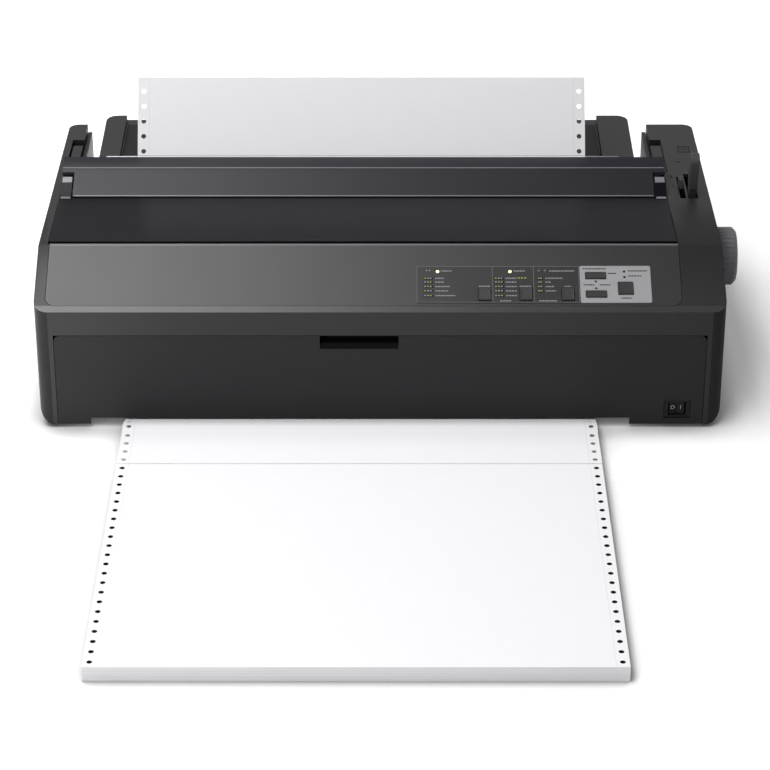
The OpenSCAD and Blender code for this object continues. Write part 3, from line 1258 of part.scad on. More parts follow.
placed() power_supply();
placed() mains_inlet();
placed() screws();
placed() paper_stack();
placed() paper_web();
placed() paper_end();
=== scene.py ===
"""Looks of a wide-carriage dot matrix printer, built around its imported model.

Measures are in millimetres from the middle of the case's front face, at table height:
x to the right, y to the rear and z up. Datum turns them into metres in the frame.
"""

import logging
import math
from dataclasses import dataclass, field
from enum import Enum
from typing import Callable, Sequence

import bpy
from mathutils import Euler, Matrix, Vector

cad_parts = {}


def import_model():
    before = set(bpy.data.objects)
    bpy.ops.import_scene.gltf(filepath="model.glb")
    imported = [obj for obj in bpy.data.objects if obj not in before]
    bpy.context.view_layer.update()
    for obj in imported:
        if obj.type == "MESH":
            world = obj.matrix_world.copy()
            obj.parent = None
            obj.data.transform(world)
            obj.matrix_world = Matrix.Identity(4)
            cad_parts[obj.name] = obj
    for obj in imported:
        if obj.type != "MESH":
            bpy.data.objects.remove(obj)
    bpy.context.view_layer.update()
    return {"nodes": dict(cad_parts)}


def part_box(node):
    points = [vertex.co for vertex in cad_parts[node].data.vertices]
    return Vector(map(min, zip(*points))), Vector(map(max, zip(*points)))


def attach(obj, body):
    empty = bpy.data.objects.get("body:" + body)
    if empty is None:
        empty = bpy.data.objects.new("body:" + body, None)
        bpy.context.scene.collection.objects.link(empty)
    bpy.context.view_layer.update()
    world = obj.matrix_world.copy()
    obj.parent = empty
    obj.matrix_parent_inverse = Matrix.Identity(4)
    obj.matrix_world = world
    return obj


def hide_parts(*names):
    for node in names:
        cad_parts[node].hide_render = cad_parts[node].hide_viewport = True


LOG = logging.getLogger("printer")
MM = 0.001
SHARP = 35.0  # degrees past which an edge is rounded, and past which it stays sharp in shading
ALONG = 0.9  # share of a normal past which it counts as looking one way
Pair = tuple[float, float]
Triple = tuple[float, float, float]


class Body(str, Enum):
    """The moving bodies of the frame that pieces ride on."""

    CASE = "case"
    FRONT_COVER = "front_cover"
    REAR_COVER = "rear_cover"
    WINDOW = "front_window"
    PAPER_END = "paper_end"
    PAPER_GUIDE = "paper_guide"
    EDGE_LEFT = "edge_guide_left"
    EDGE_RIGHT = "edge_guide_right"
    PLATEN = "platen"
    CARRIAGE = "carriage"
    RIBBON_KNOB = "ribbon_knob"
    THICKNESS = "thickness_lever"
    RELEASE = "release_lever"
    ROCKER = "power_rocker"
    FONT = "button_font"
    PITCH = "button_pitch"
    FUNCTION = "button_function"
    LOAD = "button_load"
    FEED = "button_feed"
    PAUSE = "button_pause"


class Element(Enum):
    """What an edit selects."""

    CORNER = "VERT"
    FACE = "FACE"


class Datum:
    """Turns the printer's own millimetres into the frame's metres."""

    def __init__(self) -> None:
        """Finds the middle of the case's front face from the upper case."""
        low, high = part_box("upper_case")
        self.origin = Vector(((low.x + high.x) / 2, low.y, 0.0))

    def point(self, x: float, y: float, z: float) -> Vector:
        """Gives a place in the frame.

        Args:
            x: Millimetres to the right of the case's middle.
            y: Millimetres behind the front face.
            z: Millimetres above the table.

        Returns:
            The place in metres.
        """
        return self.origin + Vector((x, y, z)) * MM

    def own(self, place: Vector) -> Vector:
        """Turns a place in the frame back into the printer's millimetres."""
        return (place - self.origin) / MM


def linear(code: str) -> Triple:
    """Turns a written sRGB colour into linear values.

    Args:
        code: Six hexadecimal digits.

    Returns:
        Red, green and blue, each from 0 to 1.
    """
    values = (int(code[i : i + 2], 16) / 255 for i in (0, 2, 4))
    return tuple(v / 12.92 if v <= 0.04045 else ((v + 0.055) / 1.055) ** 2.4 for v in values)


def deselect() -> None:
    """Leaves nothing selected, in object mode."""
    if bpy.context.object and bpy.context.object.mode != "OBJECT":
        bpy.ops.object.mode_set(mode="OBJECT")
    bpy.ops.object.select_all(action="DESELECT")


def activate(piece: bpy.types.Object) -> None:
    """Selects one piece alone and makes it active."""
    deselect()
    piece.select_set(True)
    bpy.context.view_layer.objects.active = piece


def link(name: str, mesh: bpy.types.Mesh) -> bpy.types.Object:
    """Puts a mesh in the scene as a new piece and makes it active."""
    piece = bpy.data.objects.new(name, mesh)
    bpy.context.scene.collection.objects.link(piece)
    activate(piece)
    return piece


def settle() -> bpy.types.Object:
    """Moves the active piece's place, turn and scale into its mesh.

    Returns:
        The piece, at the origin.
    """
    piece = bpy.context.object
    bpy.ops.object.transform_apply(location=True, rotation=True, scale=True)
    return piece


def apply_all(piece: bpy.types.Object) -> None:
    """Applies every modifier of a piece."""
    activate(piece)
    for modifier in list(piece.modifiers):
        bpy.ops.object.modifier_apply(modifier=modifier.name)


def pick(piece: bpy.types.Object, kind: Element, wanted: Callable[..., bool]) -> None:
    """Selects some corners or faces of a piece, and leaves it in edit mode.

    Args:
        piece: The piece, at the origin.
        kind: Whether corners or faces are selected.
        wanted: Says of each of them whether it is one.
    """
    activate(piece)
    bpy.ops.object.mode_set(mode="EDIT")
    bpy.ops.mesh.select_mode(type=kind.value)
    bpy.ops.mesh.select_all(action="DESELECT")
    bpy.ops.object.mode_set(mode="OBJECT")
    for element in piece.data.vertices if kind is Element.CORNER else piece.data.polygons:
        element.select = wanted(element)
    bpy.ops.object.mode_set(mode="EDIT")


def leave_edit() -> None:
    """Goes back to selecting corners, and to object mode."""
    bpy.ops.mesh.select_mode(type=Element.CORNER.value)
    bpy.ops.object.mode_set(mode="OBJECT")


def erase(piece: bpy.types.Object, kind: Element, doomed: Callable[..., bool]) -> bpy.types.Object:
    """Deletes some corners or faces of a piece.

    Args:
        piece: The piece, at the origin.
        kind: Whether corners or faces are deleted.
        doomed: Says of each of them whether it goes.

    Returns:
        The same piece.
    """
    pick(piece, kind, doomed)
    bpy.ops.mesh.delete(type=kind.value)
    leave_edit()
    return piece


def smooth(piece: bpy.types.Object, angle: float = SHARP) -> bpy.types.Object:
    """Shades a piece smooth, except across edges sharper than an angle in degrees."""
    activate(piece)
    bpy.ops.object.shade_smooth_by_angle(angle=math.radians(angle))
    return piece


def bevel(piece: bpy.types.Object, width: float, segments: int = 2) -> bpy.types.Object:
    """Rounds a piece's sharp edges.

    Args:
        piece: The piece, at the origin.
        width: Width of the rounding in millimetres.
        segments: Faces across the rounding.

    Returns:
        The same piece.
    """
    modifier = piece.modifiers.new("edges", "BEVEL")
    modifier.width = width * MM
    modifier.segments = segments
    modifier.limit_method = "ANGLE"
    modifier.angle_limit = math.radians(SHARP)
    modifier.use_clamp_overlap = True
    modifier.miter_outer = "MITER_ARC"
    apply_all(piece)
    return level(smooth(weed(piece)))


def weed(piece: bpy.types.Object) -> bpy.types.Object:
    """Deletes slivers whose triangles would spread over more than twice the face itself, and 1 mm2."""
    mesh = piece.data
    mesh.calc_loop_triangles()
    covered = [0.0] * len(mesh.polygons)
    for triangle in mesh.loop_triangles:
        covered[triangle.polygon_index] += triangle.area
    stray = {face.index for face in mesh.polygons if covered[face.index] > 2 * face.area + MM * MM}
    return erase(piece, Element.FACE, lambda face: face.index in stray) if stray else piece


def level(piece: bpy.types.Object) -> bpy.types.Object:
    """Lets large faces rule the shading of the roundings beside them, so that flats stay flat."""
    modifier = piece.modifiers.new("level", "WEIGHTED_NORMAL")
    modifier.mode = "FACE_AREA"
    modifier.weight = 50
    modifier.keep_sharp = True
    apply_all(piece)
    return piece


def block(name: str, low: Vector, high: Vector, turn: Euler | None = None) -> bpy.types.Object:
    """Adds a block between two corners, turned about its middle.

    Args:
        name: Name of the piece.
        low: Lowest corner, in metres.
        high: Highest corner, in metres.
        turn: Turn about the block's middle.

    Returns:
        The block, with its place in its mesh.
    """
    deselect()
    bpy.ops.mesh.primitive_cube_add(size=1, location=(low + high) / 2, rotation=turn or Euler((0, 0, 0)))
    piece = bpy.context.object
    piece.name = name
    piece.scale = high - low
    return settle()


def join(name: str, pieces: Sequence[bpy.types.Object]) -> bpy.types.Object:
    """Joins pieces into one.

    Args:
        name: Name of the joined piece.
        pieces: The pieces; the first one's materials are kept.

    Returns:
        The joined piece.
    """
    activate(pieces[0])
    for piece in pieces[1:]:
        piece.select_set(True)
    bpy.ops.object.join()
    bpy.context.object.name = name
    return bpy.context.object


def cut(piece: bpy.types.Object, places: Sequence[Vector], facing: Vector) -> bpy.types.Object:
    """Cuts a piece's faces along parallel planes, and keeps both sides.

    Args:
        piece: The piece, at the origin.
        places: A point of each plane, in metres.
        facing: The way that the planes look.

    Returns:
        The same piece.
    """
    activate(piece)
    bpy.ops.object.mode_set(mode="EDIT")
    for place in places:
        bpy.ops.mesh.select_all(action="SELECT")
        bpy.ops.mesh.bisect(plane_co=place, plane_no=facing)
    bpy.ops.object.mode_set(mode="OBJECT")
    return piece


def hollow(piece: bpy.types.Object, facing: Vector, rim: float, depth: float) -> bpy.types.Object:
    """Sinks the face of a piece that looks one way, and leaves a rim round it.

    Args:
        piece: The piece, at the origin.
        facing: The way that the face looks.
        rim: Width of the rim in millimetres.
        depth: Depth of the hollow in millimetres.

    Returns:
        The same piece.
    """
    pick(piece, Element.FACE, lambda face: face.normal.dot(facing) > ALONG)
    bpy.ops.mesh.inset(thickness=rim * MM)
    bpy.ops.mesh.extrude_region_move(TRANSFORM_OT_translate={"value": facing * (-depth * MM)})
    leave_edit()
    return piece


class Group:
    """A shader node group with named inputs and outputs."""

    def __init__(self, name: str, inputs: dict[str, str], outputs: dict[str, str]) -> None:
        """Makes an empty group.

        Args:
            name: Name of the group.
            inputs: Socket type of each input.
            outputs: Socket type of each output.
        """
        self.tree = bpy.data.node_groups.new(name, "ShaderNodeTree")
        for direction, sockets in (("INPUT", inputs), ("OUTPUT", outputs)):
            for socket, kind in sockets.items():
                self.tree.interface.new_socket(socket, in_out=direction, socket_type=kind)
        self.start = self.tree.nodes.new("NodeGroupInput")
        self.end = self.tree.nodes.new("NodeGroupOutput")

    def wire(self, source: bpy.types.NodeSocket, target: bpy.types.NodeSocket) -> None:
        """Links an output socket to an input socket."""
        self.tree.links.new(source, target)

    def node(self, kind: str, **settings: object) -> bpy.types.Node:
        """Adds a node with some of its settings given."""
        made = self.tree.nodes.new(kind)
        for key, value in settings.items():
            setattr(made, key, value)
        return made

    def noise(self, scale: float, detail: float, vector: bpy.types.NodeSocket) -> bpy.types.NodeSocket:
        """Adds a noise texture and gives its value."""
        made = self.node("ShaderNodeTexNoise")
        made.inputs["Scale"].default_value = scale
        made.inputs["Detail"].default_value = detail
        self.wire(vector, made.inputs["Vector"])
        return made.outputs["Fac"]

    def math(self, operation: str, *values: float | bpy.types.NodeSocket) -> bpy.types.NodeSocket:
        """Adds a maths node on numbers or sockets and gives its result."""
        made = self.node("ShaderNodeMath", operation=operation)
        for socket, value in zip(made.inputs, values):
            if isinstance(value, bpy.types.NodeSocket):
                self.wire(value, socket)
            else:
                socket.default_value = value
        return made.outputs[0]

    def span(self, value: bpy.types.NodeSocket, low: float, high: float) -> bpy.types.NodeSocket:
        """Maps a value from 0..1 to low..high."""
        made = self.node("ShaderNodeMapRange")
        self.wire(value, made.inputs["Value"])
        made.inputs["To Min"].default_value = low
        made.inputs["To Max"].default_value = high
        return made.outputs["Result"]

    def tint(self, colour: bpy.types.NodeSocket, factor: bpy.types.NodeSocket) -> bpy.types.NodeSocket:
        """Multiplies a colour by a grey factor and gives the result."""
        made = self.node("ShaderNodeVectorMath", operation="SCALE")
        self.wire(colour, made.inputs[0])
        self.wire(factor, made.inputs["Scale"])
        return made.outputs[0]


class Effects:
    """The shared effects that finishes are made of, each built once as a node group."""

    def __init__(self) -> None:
        """Builds the groups."""
        self.grain = self.build_grain()
        self.brushed = self.build_brushed()
        self.leaf = self.build_leaf()

    def build_grain(self) -> Group:
        """Builds moulded plastic's fine spark-eroded grain, with faint cloudiness in colour and gloss."""
        group = Group(
            "moulded grain",
            {
                "Vector": "NodeSocketVector",
                "Color": "NodeSocketColor",
                "Roughness": "NodeSocketFloat",
                "Scale": "NodeSocketFloat",
                "Cloud": "NodeSocketFloat",
            },
            {"Color": "NodeSocketColor", "Roughness": "NodeSocketFloat", "Height": "NodeSocketFloat"},
        )
        vector, colour, roughness, scale, cloud = (group.start.outputs[i] for i in range(5))
        fine = group.node("ShaderNodeTexNoise")
        fine.inputs["Detail"].default_value = 3.0
        fine.inputs["Roughness"].default_value = 0.6
        group.wire(vector, fine.inputs["Vector"])
        group.wire(scale, fine.inputs["Scale"])
        clouds = group.noise(14.0, 4.0, vector)
        centred = group.math("SUBTRACT", clouds, 0.5)
        drift = group.math("MULTIPLY_ADD", centred, cloud, 1.0)
        speckle = group.span(fine.outputs["Fac"], 0.94, 1.06)
        group.wire(group.tint(colour, group.math("MULTIPLY", drift, speckle)), group.end.inputs["Color"])
        group.wire(group.math("MULTIPLY", roughness, drift), group.end.inputs["Roughness"])
        group.wire(fine.outputs["Fac"], group.end.inputs["Height"])
        return group

    def build_brushed(self) -> Group:
        """Builds rolled sheet metal: long fine scratches along x and soft stains."""
        group = Group(
            "rolled metal",
            {"Vector": "NodeSocketVector", "Color": "NodeSocketColor", "Roughness": "NodeSocketFloat"},
            {"Color": "NodeSocketColor", "Roughness": "NodeSocketFloat", "Height": "NodeSocketFloat"},
        )
        vector, colour, roughness = (group.start.outputs[i] for i in range(3))
        stretch = group.node("ShaderNodeMapping")
        stretch.inputs["Scale"].default_value = (12.0, 900.0, 900.0)
        group.wire(vector, stretch.inputs["Vector"])
        lines = group.noise(1.0, 3.0, stretch.outputs["Vector"])
        stains = group.noise(30.0, 3.0, vector)
        group.wire(group.tint(colour, group.span(lines, 0.82, 1.12)), group.end.inputs["Color"])
        spread = group.math("MULTIPLY", roughness, group.span(stains, 0.75, 1.3))
        group.wire(spread, group.end.inputs["Roughness"])
        group.wire(lines, group.end.inputs["Height"])
        return group

    def build_leaf(self) -> Group:
        """Builds paper: pulp, a fine tear-off line inside each row of feed holes, and the edges of piled sheets."""
        group = Group(
            "paper leaf",
            {
                "Vector": "NodeSocketVector",
                "Color": "NodeSocketColor",
                "Middle": "NodeSocketFloat",
                "Tear Line": "NodeSocketFloat",
                "Sheets": "NodeSocketFloat",
            },
            {"Color": "NodeSocketColor", "Height": "NodeSocketFloat"},
        )
        vector, colour, middle, tear_line, strength = (group.start.outputs[i] for i in range(5))
        fibres = group.noise(900.0, 4.0, vector)
        pulp = group.noise(60.0, 3.0, vector)
        split = group.node("ShaderNodeSeparateXYZ")
        group.wire(vector, split.inputs[0])
        reach = group.math("ABSOLUTE", group.math("SUBTRACT", split.outputs["X"], middle))
        away = group.math("ABSOLUTE", group.math("SUBTRACT", reach, tear_line))
        line = group.math("LESS_THAN", away, 0.00022)
        stretch = group.node("ShaderNodeMapping")
        stretch.inputs["Scale"].default_value = (4.0, 4.0, 3600.0)
        group.wire(vector, stretch.inputs["Vector"])
        sheets = group.noise(1.0, 2.0, stretch.outputs["Vector"])
        shade = group.math("MULTIPLY", group.span(pulp, 0.985, 1.01), group.span(line, 1.0, 0.86))
        centred = group.math("SUBTRACT", sheets, 0.5)
        shade = group.math("MULTIPLY", shade, group.math("MULTIPLY_ADD", centred, strength, 1.0))
        group.wire(group.tint(colour, shade), group.end.inputs["Color"])
        group.wire(group.math("SUBTRACT", fibres, line), group.end.inputs["Height"])
        return group


@dataclass(frozen=True)
class Finish:
    """A plain shader with no pattern of its own.

    Attributes:
        name: Name of the finish.
        slot: The record's material slot that it stands for; not used here.
        colour: Six hexadecimal digits of its sRGB colour.
        roughness: Roughness of its gloss.
        gloss: Specular level.
        metallic: 1 for bare metal.
    """

    name: str
    slot: str
    colour: str
    roughness: float = 0.5
    gloss: float = 0.5
    metallic: float = 0.0

    def shader(self) -> tuple[bpy.types.Material, bpy.types.Node]:
        """Makes the material and gives it with its shader node."""
        material = bpy.data.materials.new(self.name)
        material.use_nodes = True
        shader = material.node_tree.nodes["Principled BSDF"]
        shader.inputs["Base Color"].default_value = (*linear(self.colour), 1.0)
        shader.inputs["Roughness"].default_value = self.roughness
        shader.inputs["Specular IOR Level"].default_value = self.gloss
        shader.inputs["Metallic"].default_value = self.metallic
        return material, shader

    def place(self, material: bpy.types.Material, group: Group) -> bpy.types.Node:
        """Places a shared effect in the material, fed by Object coordinates.

        Args:
            material: The finish's material.
            group: The effect.

        Returns:
            The group's node.
        """
        nodes, links = material.node_tree.nodes, material.node_tree.links
        effect = nodes.new("ShaderNodeGroup")
        effect.node_tree = group.tree
        coordinates = nodes.new("ShaderNodeTexCoord")
        links.new(coordinates.outputs["Object"], effect.inputs["Vector"])
        effect.inputs["Color"].default_value = (*linear(self.colour), 1.0)
        if "Roughness" in effect.inputs:
            effect.inputs["Roughness"].default_value = self.roughness
        return effect

    def connect(self, material: bpy.types.Material, effect: bpy.types.Node, depth: float) -> None:
        """Feeds an effect's outputs to the shader.

        Args:
            material: The finish's material.
            effect: The effect's node.
            depth: Depth of its relief, in millimetres.
        """
        nodes, links = material.node_tree.nodes, material.node_tree.links
        shader = nodes["Principled BSDF"]
        links.new(effect.outputs["Color"], shader.inputs["Base Color"])
        if "Roughness" in effect.outputs:
            links.new(effect.outputs["Roughness"], shader.inputs["Roughness"])
        bump = nodes.new("ShaderNodeBump")
        bump.inputs["Distance"].default_value = depth * MM
        bump.inputs["Strength"].default_value = 1.0
        links.new(effect.outputs["Height"], bump.inputs["Height"])
        links.new(bump.outputs["Normal"], shader.inputs["Normal"])

    def build(self, effects: Effects) -> bpy.types.Material:
        """Builds the material."""
        return self.shader()[0]


@dataclass(frozen=True)
class Moulded(Finish):
    """Moulded plastic or rubber with a fine grain.

    Attributes:
        grain: Grains per metre.
        depth: Depth of the grain in millimetres.
        cloud: Strength of its cloudiness.
        alpha: Below 1 for a smoked see-through plastic.
    """

    grain: float = 1400.0
    depth: float = 0.03
    cloud: float = 0.18
    alpha: float = 1.0

    def build(self, effects: Effects) -> bpy.types.Material:
        """Builds the material from the grain effect."""
        material, shader = self.shader()
        shader.inputs["Alpha"].default_value = self.alpha
        effect = self.place(material, effects.grain)
        effect.inputs["Scale"].default_value = self.grain
        effect.inputs["Cloud"].default_value = self.cloud
        self.connect(material, effect, self.depth)
        return material


@dataclass(frozen=True)
class Printed(Moulded):
    """Ink or a dark opening, with no grain that can be felt."""

    depth: float = 0.0
    cloud: float = 0.1


@dataclass(frozen=True)
class Rolled(Finish):
    """Bare or ground sheet metal.

    Attributes:
        depth: Depth of the scratches in millimetres.
    """

    depth: float = 0.01

    def build(self, effects: Effects) -> bpy.types.Material:
        """Builds the material from the rolled-metal effect."""
        material, _ = self.shader()
        self.connect(material, self.place(material, effects.brushed), self.depth)
        return material


@dataclass(frozen=True)
class Leaf(Finish):
    """Fan-fold paper.

    Attributes:
        middle: The paper's middle, in millimetres to the right of the case's.
        tear_line: Distance of the tear-off lines from the middle, in millimetres. Past the edge there are none.
        sheets: Strength of the lines between piled sheets.
        depth: Depth of the fibres in millimetres.
    """

    middle: float = -26.95
    tear_line: float = 178.0
    sheets: float = 0.0
    depth: float = 0.006

    def build(self, effects: Effects) -> bpy.types.Material:
        """Builds the material from the paper effect."""
        material, _ = self.shader()
        effect = self.place(material, effects.leaf)
        effect.inputs["Middle"].default_value = self.middle * MM
        effect.inputs["Tear Line"].default_value = self.tear_line * MM
        effect.inputs["Sheets"].default_value = self.sheets
        self.connect(material, effect, self.depth)
        return material


@dataclass(frozen=True)
class Lit(Finish):
    """A lamp's lens that glows.

    Attributes:
        glow: Strength of its light.
    """

    glow: float = 1.0

    def build(self, effects: Effects) -> bpy.types.Material:
        """Builds the material."""
        material, shader = self.shader()
        shader.inputs["Emission Color"].default_value = (*linear(self.colour), 1.0)
        shader.inputs["Emission Strength"].default_value = self.glow
        return material


class Look(Enum):
    """The finishes of this printer."""

    CASE = Moulded("case plastic", "case_plastic", "1E1E20", 0.44, 0.42)
    COVER = Moulded("cover plastic", "case_plastic", "1E1E20", 0.5, 0.26)
    GUIDE = Moulded("guide plastic", "case_plastic", "262628", 0.42, 0.5)
    # Lighter, glossier copy of the case plastic: a painted highlight on the lip.
    LIP = Moulded("painted lip highlight", "case_plastic", "28282A", 0.38, 0.8)
    # Light copy of the fascia plastic: a painted highlight on the flat strip at the top of the slope.
    EDGE = Moulded("painted ridge highlight", "fascia_plastic", "626264", 0.32, 0.6)
    # Light copy of the smoked plastic for thin strips and pads: painted highlights.
    CREST = Moulded("painted crest highlight", "smoked_plastic", "74737A", 0.35, 0.5, depth=0.006, cloud=0.1)
    # Darker, duller copy of the case plastic: painted shade on the front corners.
    POST = Moulded("painted corner shade", "case_plastic", "1B1B1D", 0.5, 0.22)
    POCKET = Moulded("pocket shade", "case_plastic", "0E0E0F", 0.7, 0.05)
    FASCIA = Moulded("fascia plastic", "fascia_plastic", "202022", 0.42, 0.62, depth=0.02)
    LABEL = Moulded("marked area", "label", "1F1F21", 0.42, 0.5, depth=0.01, grain=3000.0)
    SILVER = Moulded("silver plate", "label", "949496", 0.36, 0.5, depth=0.008, grain=3000.0, cloud=0.08)
    PRINT = Printed("printed marks", "label", "B4B4B6", 0.6, 0.2)
    GREY_PRINT = Printed("grey marks", "label", "86868A", 0.6, 0.2)
    FRAME_PRINT = Printed("frame lines", "label", "6C6C6E", 0.6, 0.2)
    WELL = Printed("dark wells", "label", "0B0B0C", 0.6, 0.15)
    DARK_PRINT = Printed("dark marks", "label", "1B1B1D", 0.6, 0.2)
    AMBER = Printed("amber marks", "label", "7F8E34", 0.6, 0.2)
    KEY = Moulded("key plastic", "button_plastic", "2A2A2C", 0.42, 0.5)
    LIT = Lit("lit lamp", "lamp", "E6F6B0", 0.25, 0.5, glow=1.3)
    UNLIT = Printed("unlit lamp", "lamp", "2A2C22", 0.25, 0.5)
    BLACK = Moulded("black plastic", "black_plastic", "141415", 0.5, 0.28)
    SMOKED = Moulded("smoked plastic", "smoked_plastic", "141318", 0.24, 0.09, depth=0.003, cloud=0.08, alpha=0.96)
    # Lighter copy of the smoked plastic: painted light on the rear cover, whose riser faces the lamps.
    RISER = Moulded("smoked plastic painted lighter", "smoked_plastic", "26252B", 0.38, 0.28, depth=0.006, cloud=0.1, alpha=0.96)
    KNOB = Moulded("knob plastic", "knob_plastic", "66666A", 0.5, 0.4)
    LEVER = Moulded("lever plastic", "knob_plastic", "3C3C3E", 0.45, 0.4)
    RUBBER = Moulded("rubber", "rubber", "111112", 0.75, 0.25, grain=2200.0, depth=0.04)
    SHEET = Rolled("sheet steel", "sheet_steel", "8C8D8F", 0.38, 0.5, metallic=1.0)
    STEEL = Rolled("ground steel", "steel", "B4B5B8", 0.22, 0.5, metallic=1.0)
    MOTOR = Moulded("motor paint", "motor_metal", "222325", 0.45, 0.5, depth=0.02)
    WHITE = Moulded("gear plastic", "gear_plastic", "DEDCD2", 0.4, 0.5, depth=0.01, cloud=0.06)
    BOARD = Moulded("circuit board", "circuit_board", "12402A", 0.4, 0.5, depth=0.01, cloud=0.3)
    RIBBON = Moulded("inked ribbon", "ribbon", "0E0E12", 0.9, 0.15, grain=5000.0, depth=0.03)
    PAPER = Leaf("paper", "paper", "E9E9EB", 0.85, 0.15)
    FREE_END = Leaf("shaded paper", "paper", "D9D9DC", 0.9, 0.1)
    # Darker paper for the stack's sides: partly painted shade, partly the lines between piled sheets.
    PILE = Leaf("piled edges with painted shade", "paper", "D9D9DB", 0.9, 0.1, tear_line=400.0, sheets=0.55)
    # Nearly black paper inside the feed holes: painted shade.
    PUNCHED = Moulded("painted hole shade", "paper", "2A2A2C", 0.9, 0.1, grain=4000.0)


@dataclass
class Shop:
    """Holds the frame, its datum and the built finishes, and finishes each piece.

    Attributes:
        nodes: The frame's nodes by name.
        datum: The printer's own measures.
        effects: The shared effects.
        materials: The built finishes.
        merged: Corners of a copy that are nearer than this, in metres, become one.
        flat: Faces of a copy that meet flatter than this, in degrees, become one.
    """

    nodes: dict[str, bpy.types.Object]
    datum: Datum
    effects: Effects
    materials: dict[Look, bpy.types.Material] = field(default_factory=dict)
    merged: float = 2e-6
    flat: float = 0.4

    def material(self, look: Look) -> bpy.types.Material:
        """Builds a finish the first time that it is asked for."""
        if look not in self.materials:
            self.materials[look] = look.value.build(self.effects)
        return self.materials[look]

    def dress(self, look: Look, *nodes: str) -> None:
        """Gives nodes of the frame a finish."""
        for node in nodes:
            mesh = self.nodes[node].data
            mesh.materials.clear()
            mesh.materials.append(self.material(look))

    def paint(self, piece: bpy.types.Object, look: Look) -> bpy.types.Object:
        """Gives a new piece its finish."""
        piece.data.materials.clear()
        piece.data.materials.append(self.material(look))
        return piece

    def done(self, piece: bpy.types.Object, look: Look, body: Body, *stands_for: str) -> bpy.types.Object:
        """Finishes a piece and hangs it on its body.

        Args:
            piece: The piece, at the origin.
            look: Its finish, unless it has some already.
            body: The body that it moves with.
            stands_for: The nodes that it replaces.

        Returns:
            The piece.
        """
        if not piece.data.materials:
            self.paint(piece, look)
        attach(piece, body.value)
        if stands_for:
            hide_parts(*stands_for)
        LOG.info("%s rides on %s", piece.name, body.value)
        return piece

    def single_out(self, piece: bpy.types.Object, look: Look, where: Callable[[Vector, Vector], bool]) -> None:
        """Gives some faces of a piece another finish.

        Args:
            piece: The piece, painted already.
            look: The other finish.
            where: Says from a face's middle, in the printer's millimetres, and its normal whether it is one.
        """
        piece.data.materials.append(self.material(look))
        last = len(piece.data.materials) - 1
        for face in piece.data.polygons:
            if where(self.datum.own(face.center), face.normal):
                face.material_index = last

    def copy(self, name: str, node: str) -> bpy.types.Object:
        """Copies a node into a new piece with whole faces and shared corners.

        Args:
            name: Name of the new piece.
            node: The node that it copies.

        Returns:
            The new piece.
        """
        piece = link(name, self.nodes[node].data.copy())
        piece.data.materials.clear()
        bpy.ops.object.mode_set(mode="EDIT")
        bpy.ops.mesh.select_all(action="SELECT")
        bpy.ops.mesh.remove_doubles(threshold=self.merged)
        bpy.ops.mesh.dissolve_limited(angle_limit=math.radians(self.flat))
        bpy.ops.object.mode_set(mode="OBJECT")
        return piece

    def rounded(self, node: str, look: Look, body: Body, width: float = 0.6, segments: int = 2) -> bpy.types.Object:
        """Copies a node with its edges rounded, and puts the copy in its place.

        Args:
            node: The node.
            look: The copy's finish.
            body: The body that the node rides on.
            width: Width of the rounding in millimetres.
            segments: Faces across the rounding.

        Returns:
            The copy.
        """
        return self.done(bevel(self.copy(f"{node}_shape", node), width, segments), look, body, node)


@dataclass
class Part:
    """A sub-assembly of the printer.

    Attributes:
        shop: The workshop that finishes its pieces.
    """

    shop: Shop

    def at(self, x: float, y: float, z: float) -> Vector:
        """Gives a place in the frame from the printer's millimetres."""
        return self.shop.datum.point(x, y, z)

    def slab(self, name: str, x: Pair, y: Pair, z: Pair) -> bpy.types.Object:
        """Adds a block between pairs of the printer's millimetres."""
        return block(name, self.at(x[0], y[0], z[0]), self.at(x[1], y[1], z[1]))


@dataclass(frozen=True)
class Port:
    """A data port in the back of the case: a metal shell, and a tongue with contacts in it.

    Attributes:
        x: Middle of its opening.
        width: Width of the opening.
        foot: Lowest height of the opening.
        height: Height of the opening.
        gap: Room round the shell.
        rim: Width of the shell's rim.
        sunk: Depth of the shell inside its rim.
        shell: Where the shell begins and ends, in front of the case's back.
        tongue: The same for the tongue.
        contacts: The same for the contacts.
        sides: Room beside the tongue, and beside the first contact.
        halves: Half of the height of the tongue, and of a contact.
        contact: Width of a contact.
        pitch: Step from one contact to the next.
        bare: Width of the opening that has no contacts.
    """

    x: float
    width: float
    foot: float
    height: float
    gap: float = 0.2
    rim: float = 1.6
    sunk: float = 0.45
    shell: Pair = (6.0, 0.1)
    tongue: Pair = (3.0, 0.2)
    contacts: Pair = (2.0, 0.12)
    sides: Pair = (3.4, 4.6)
    halves: Pair = (1.7, 2.3)
    contact: float = 1.1
    pitch: float = 2.2
    bare: float = 9.0


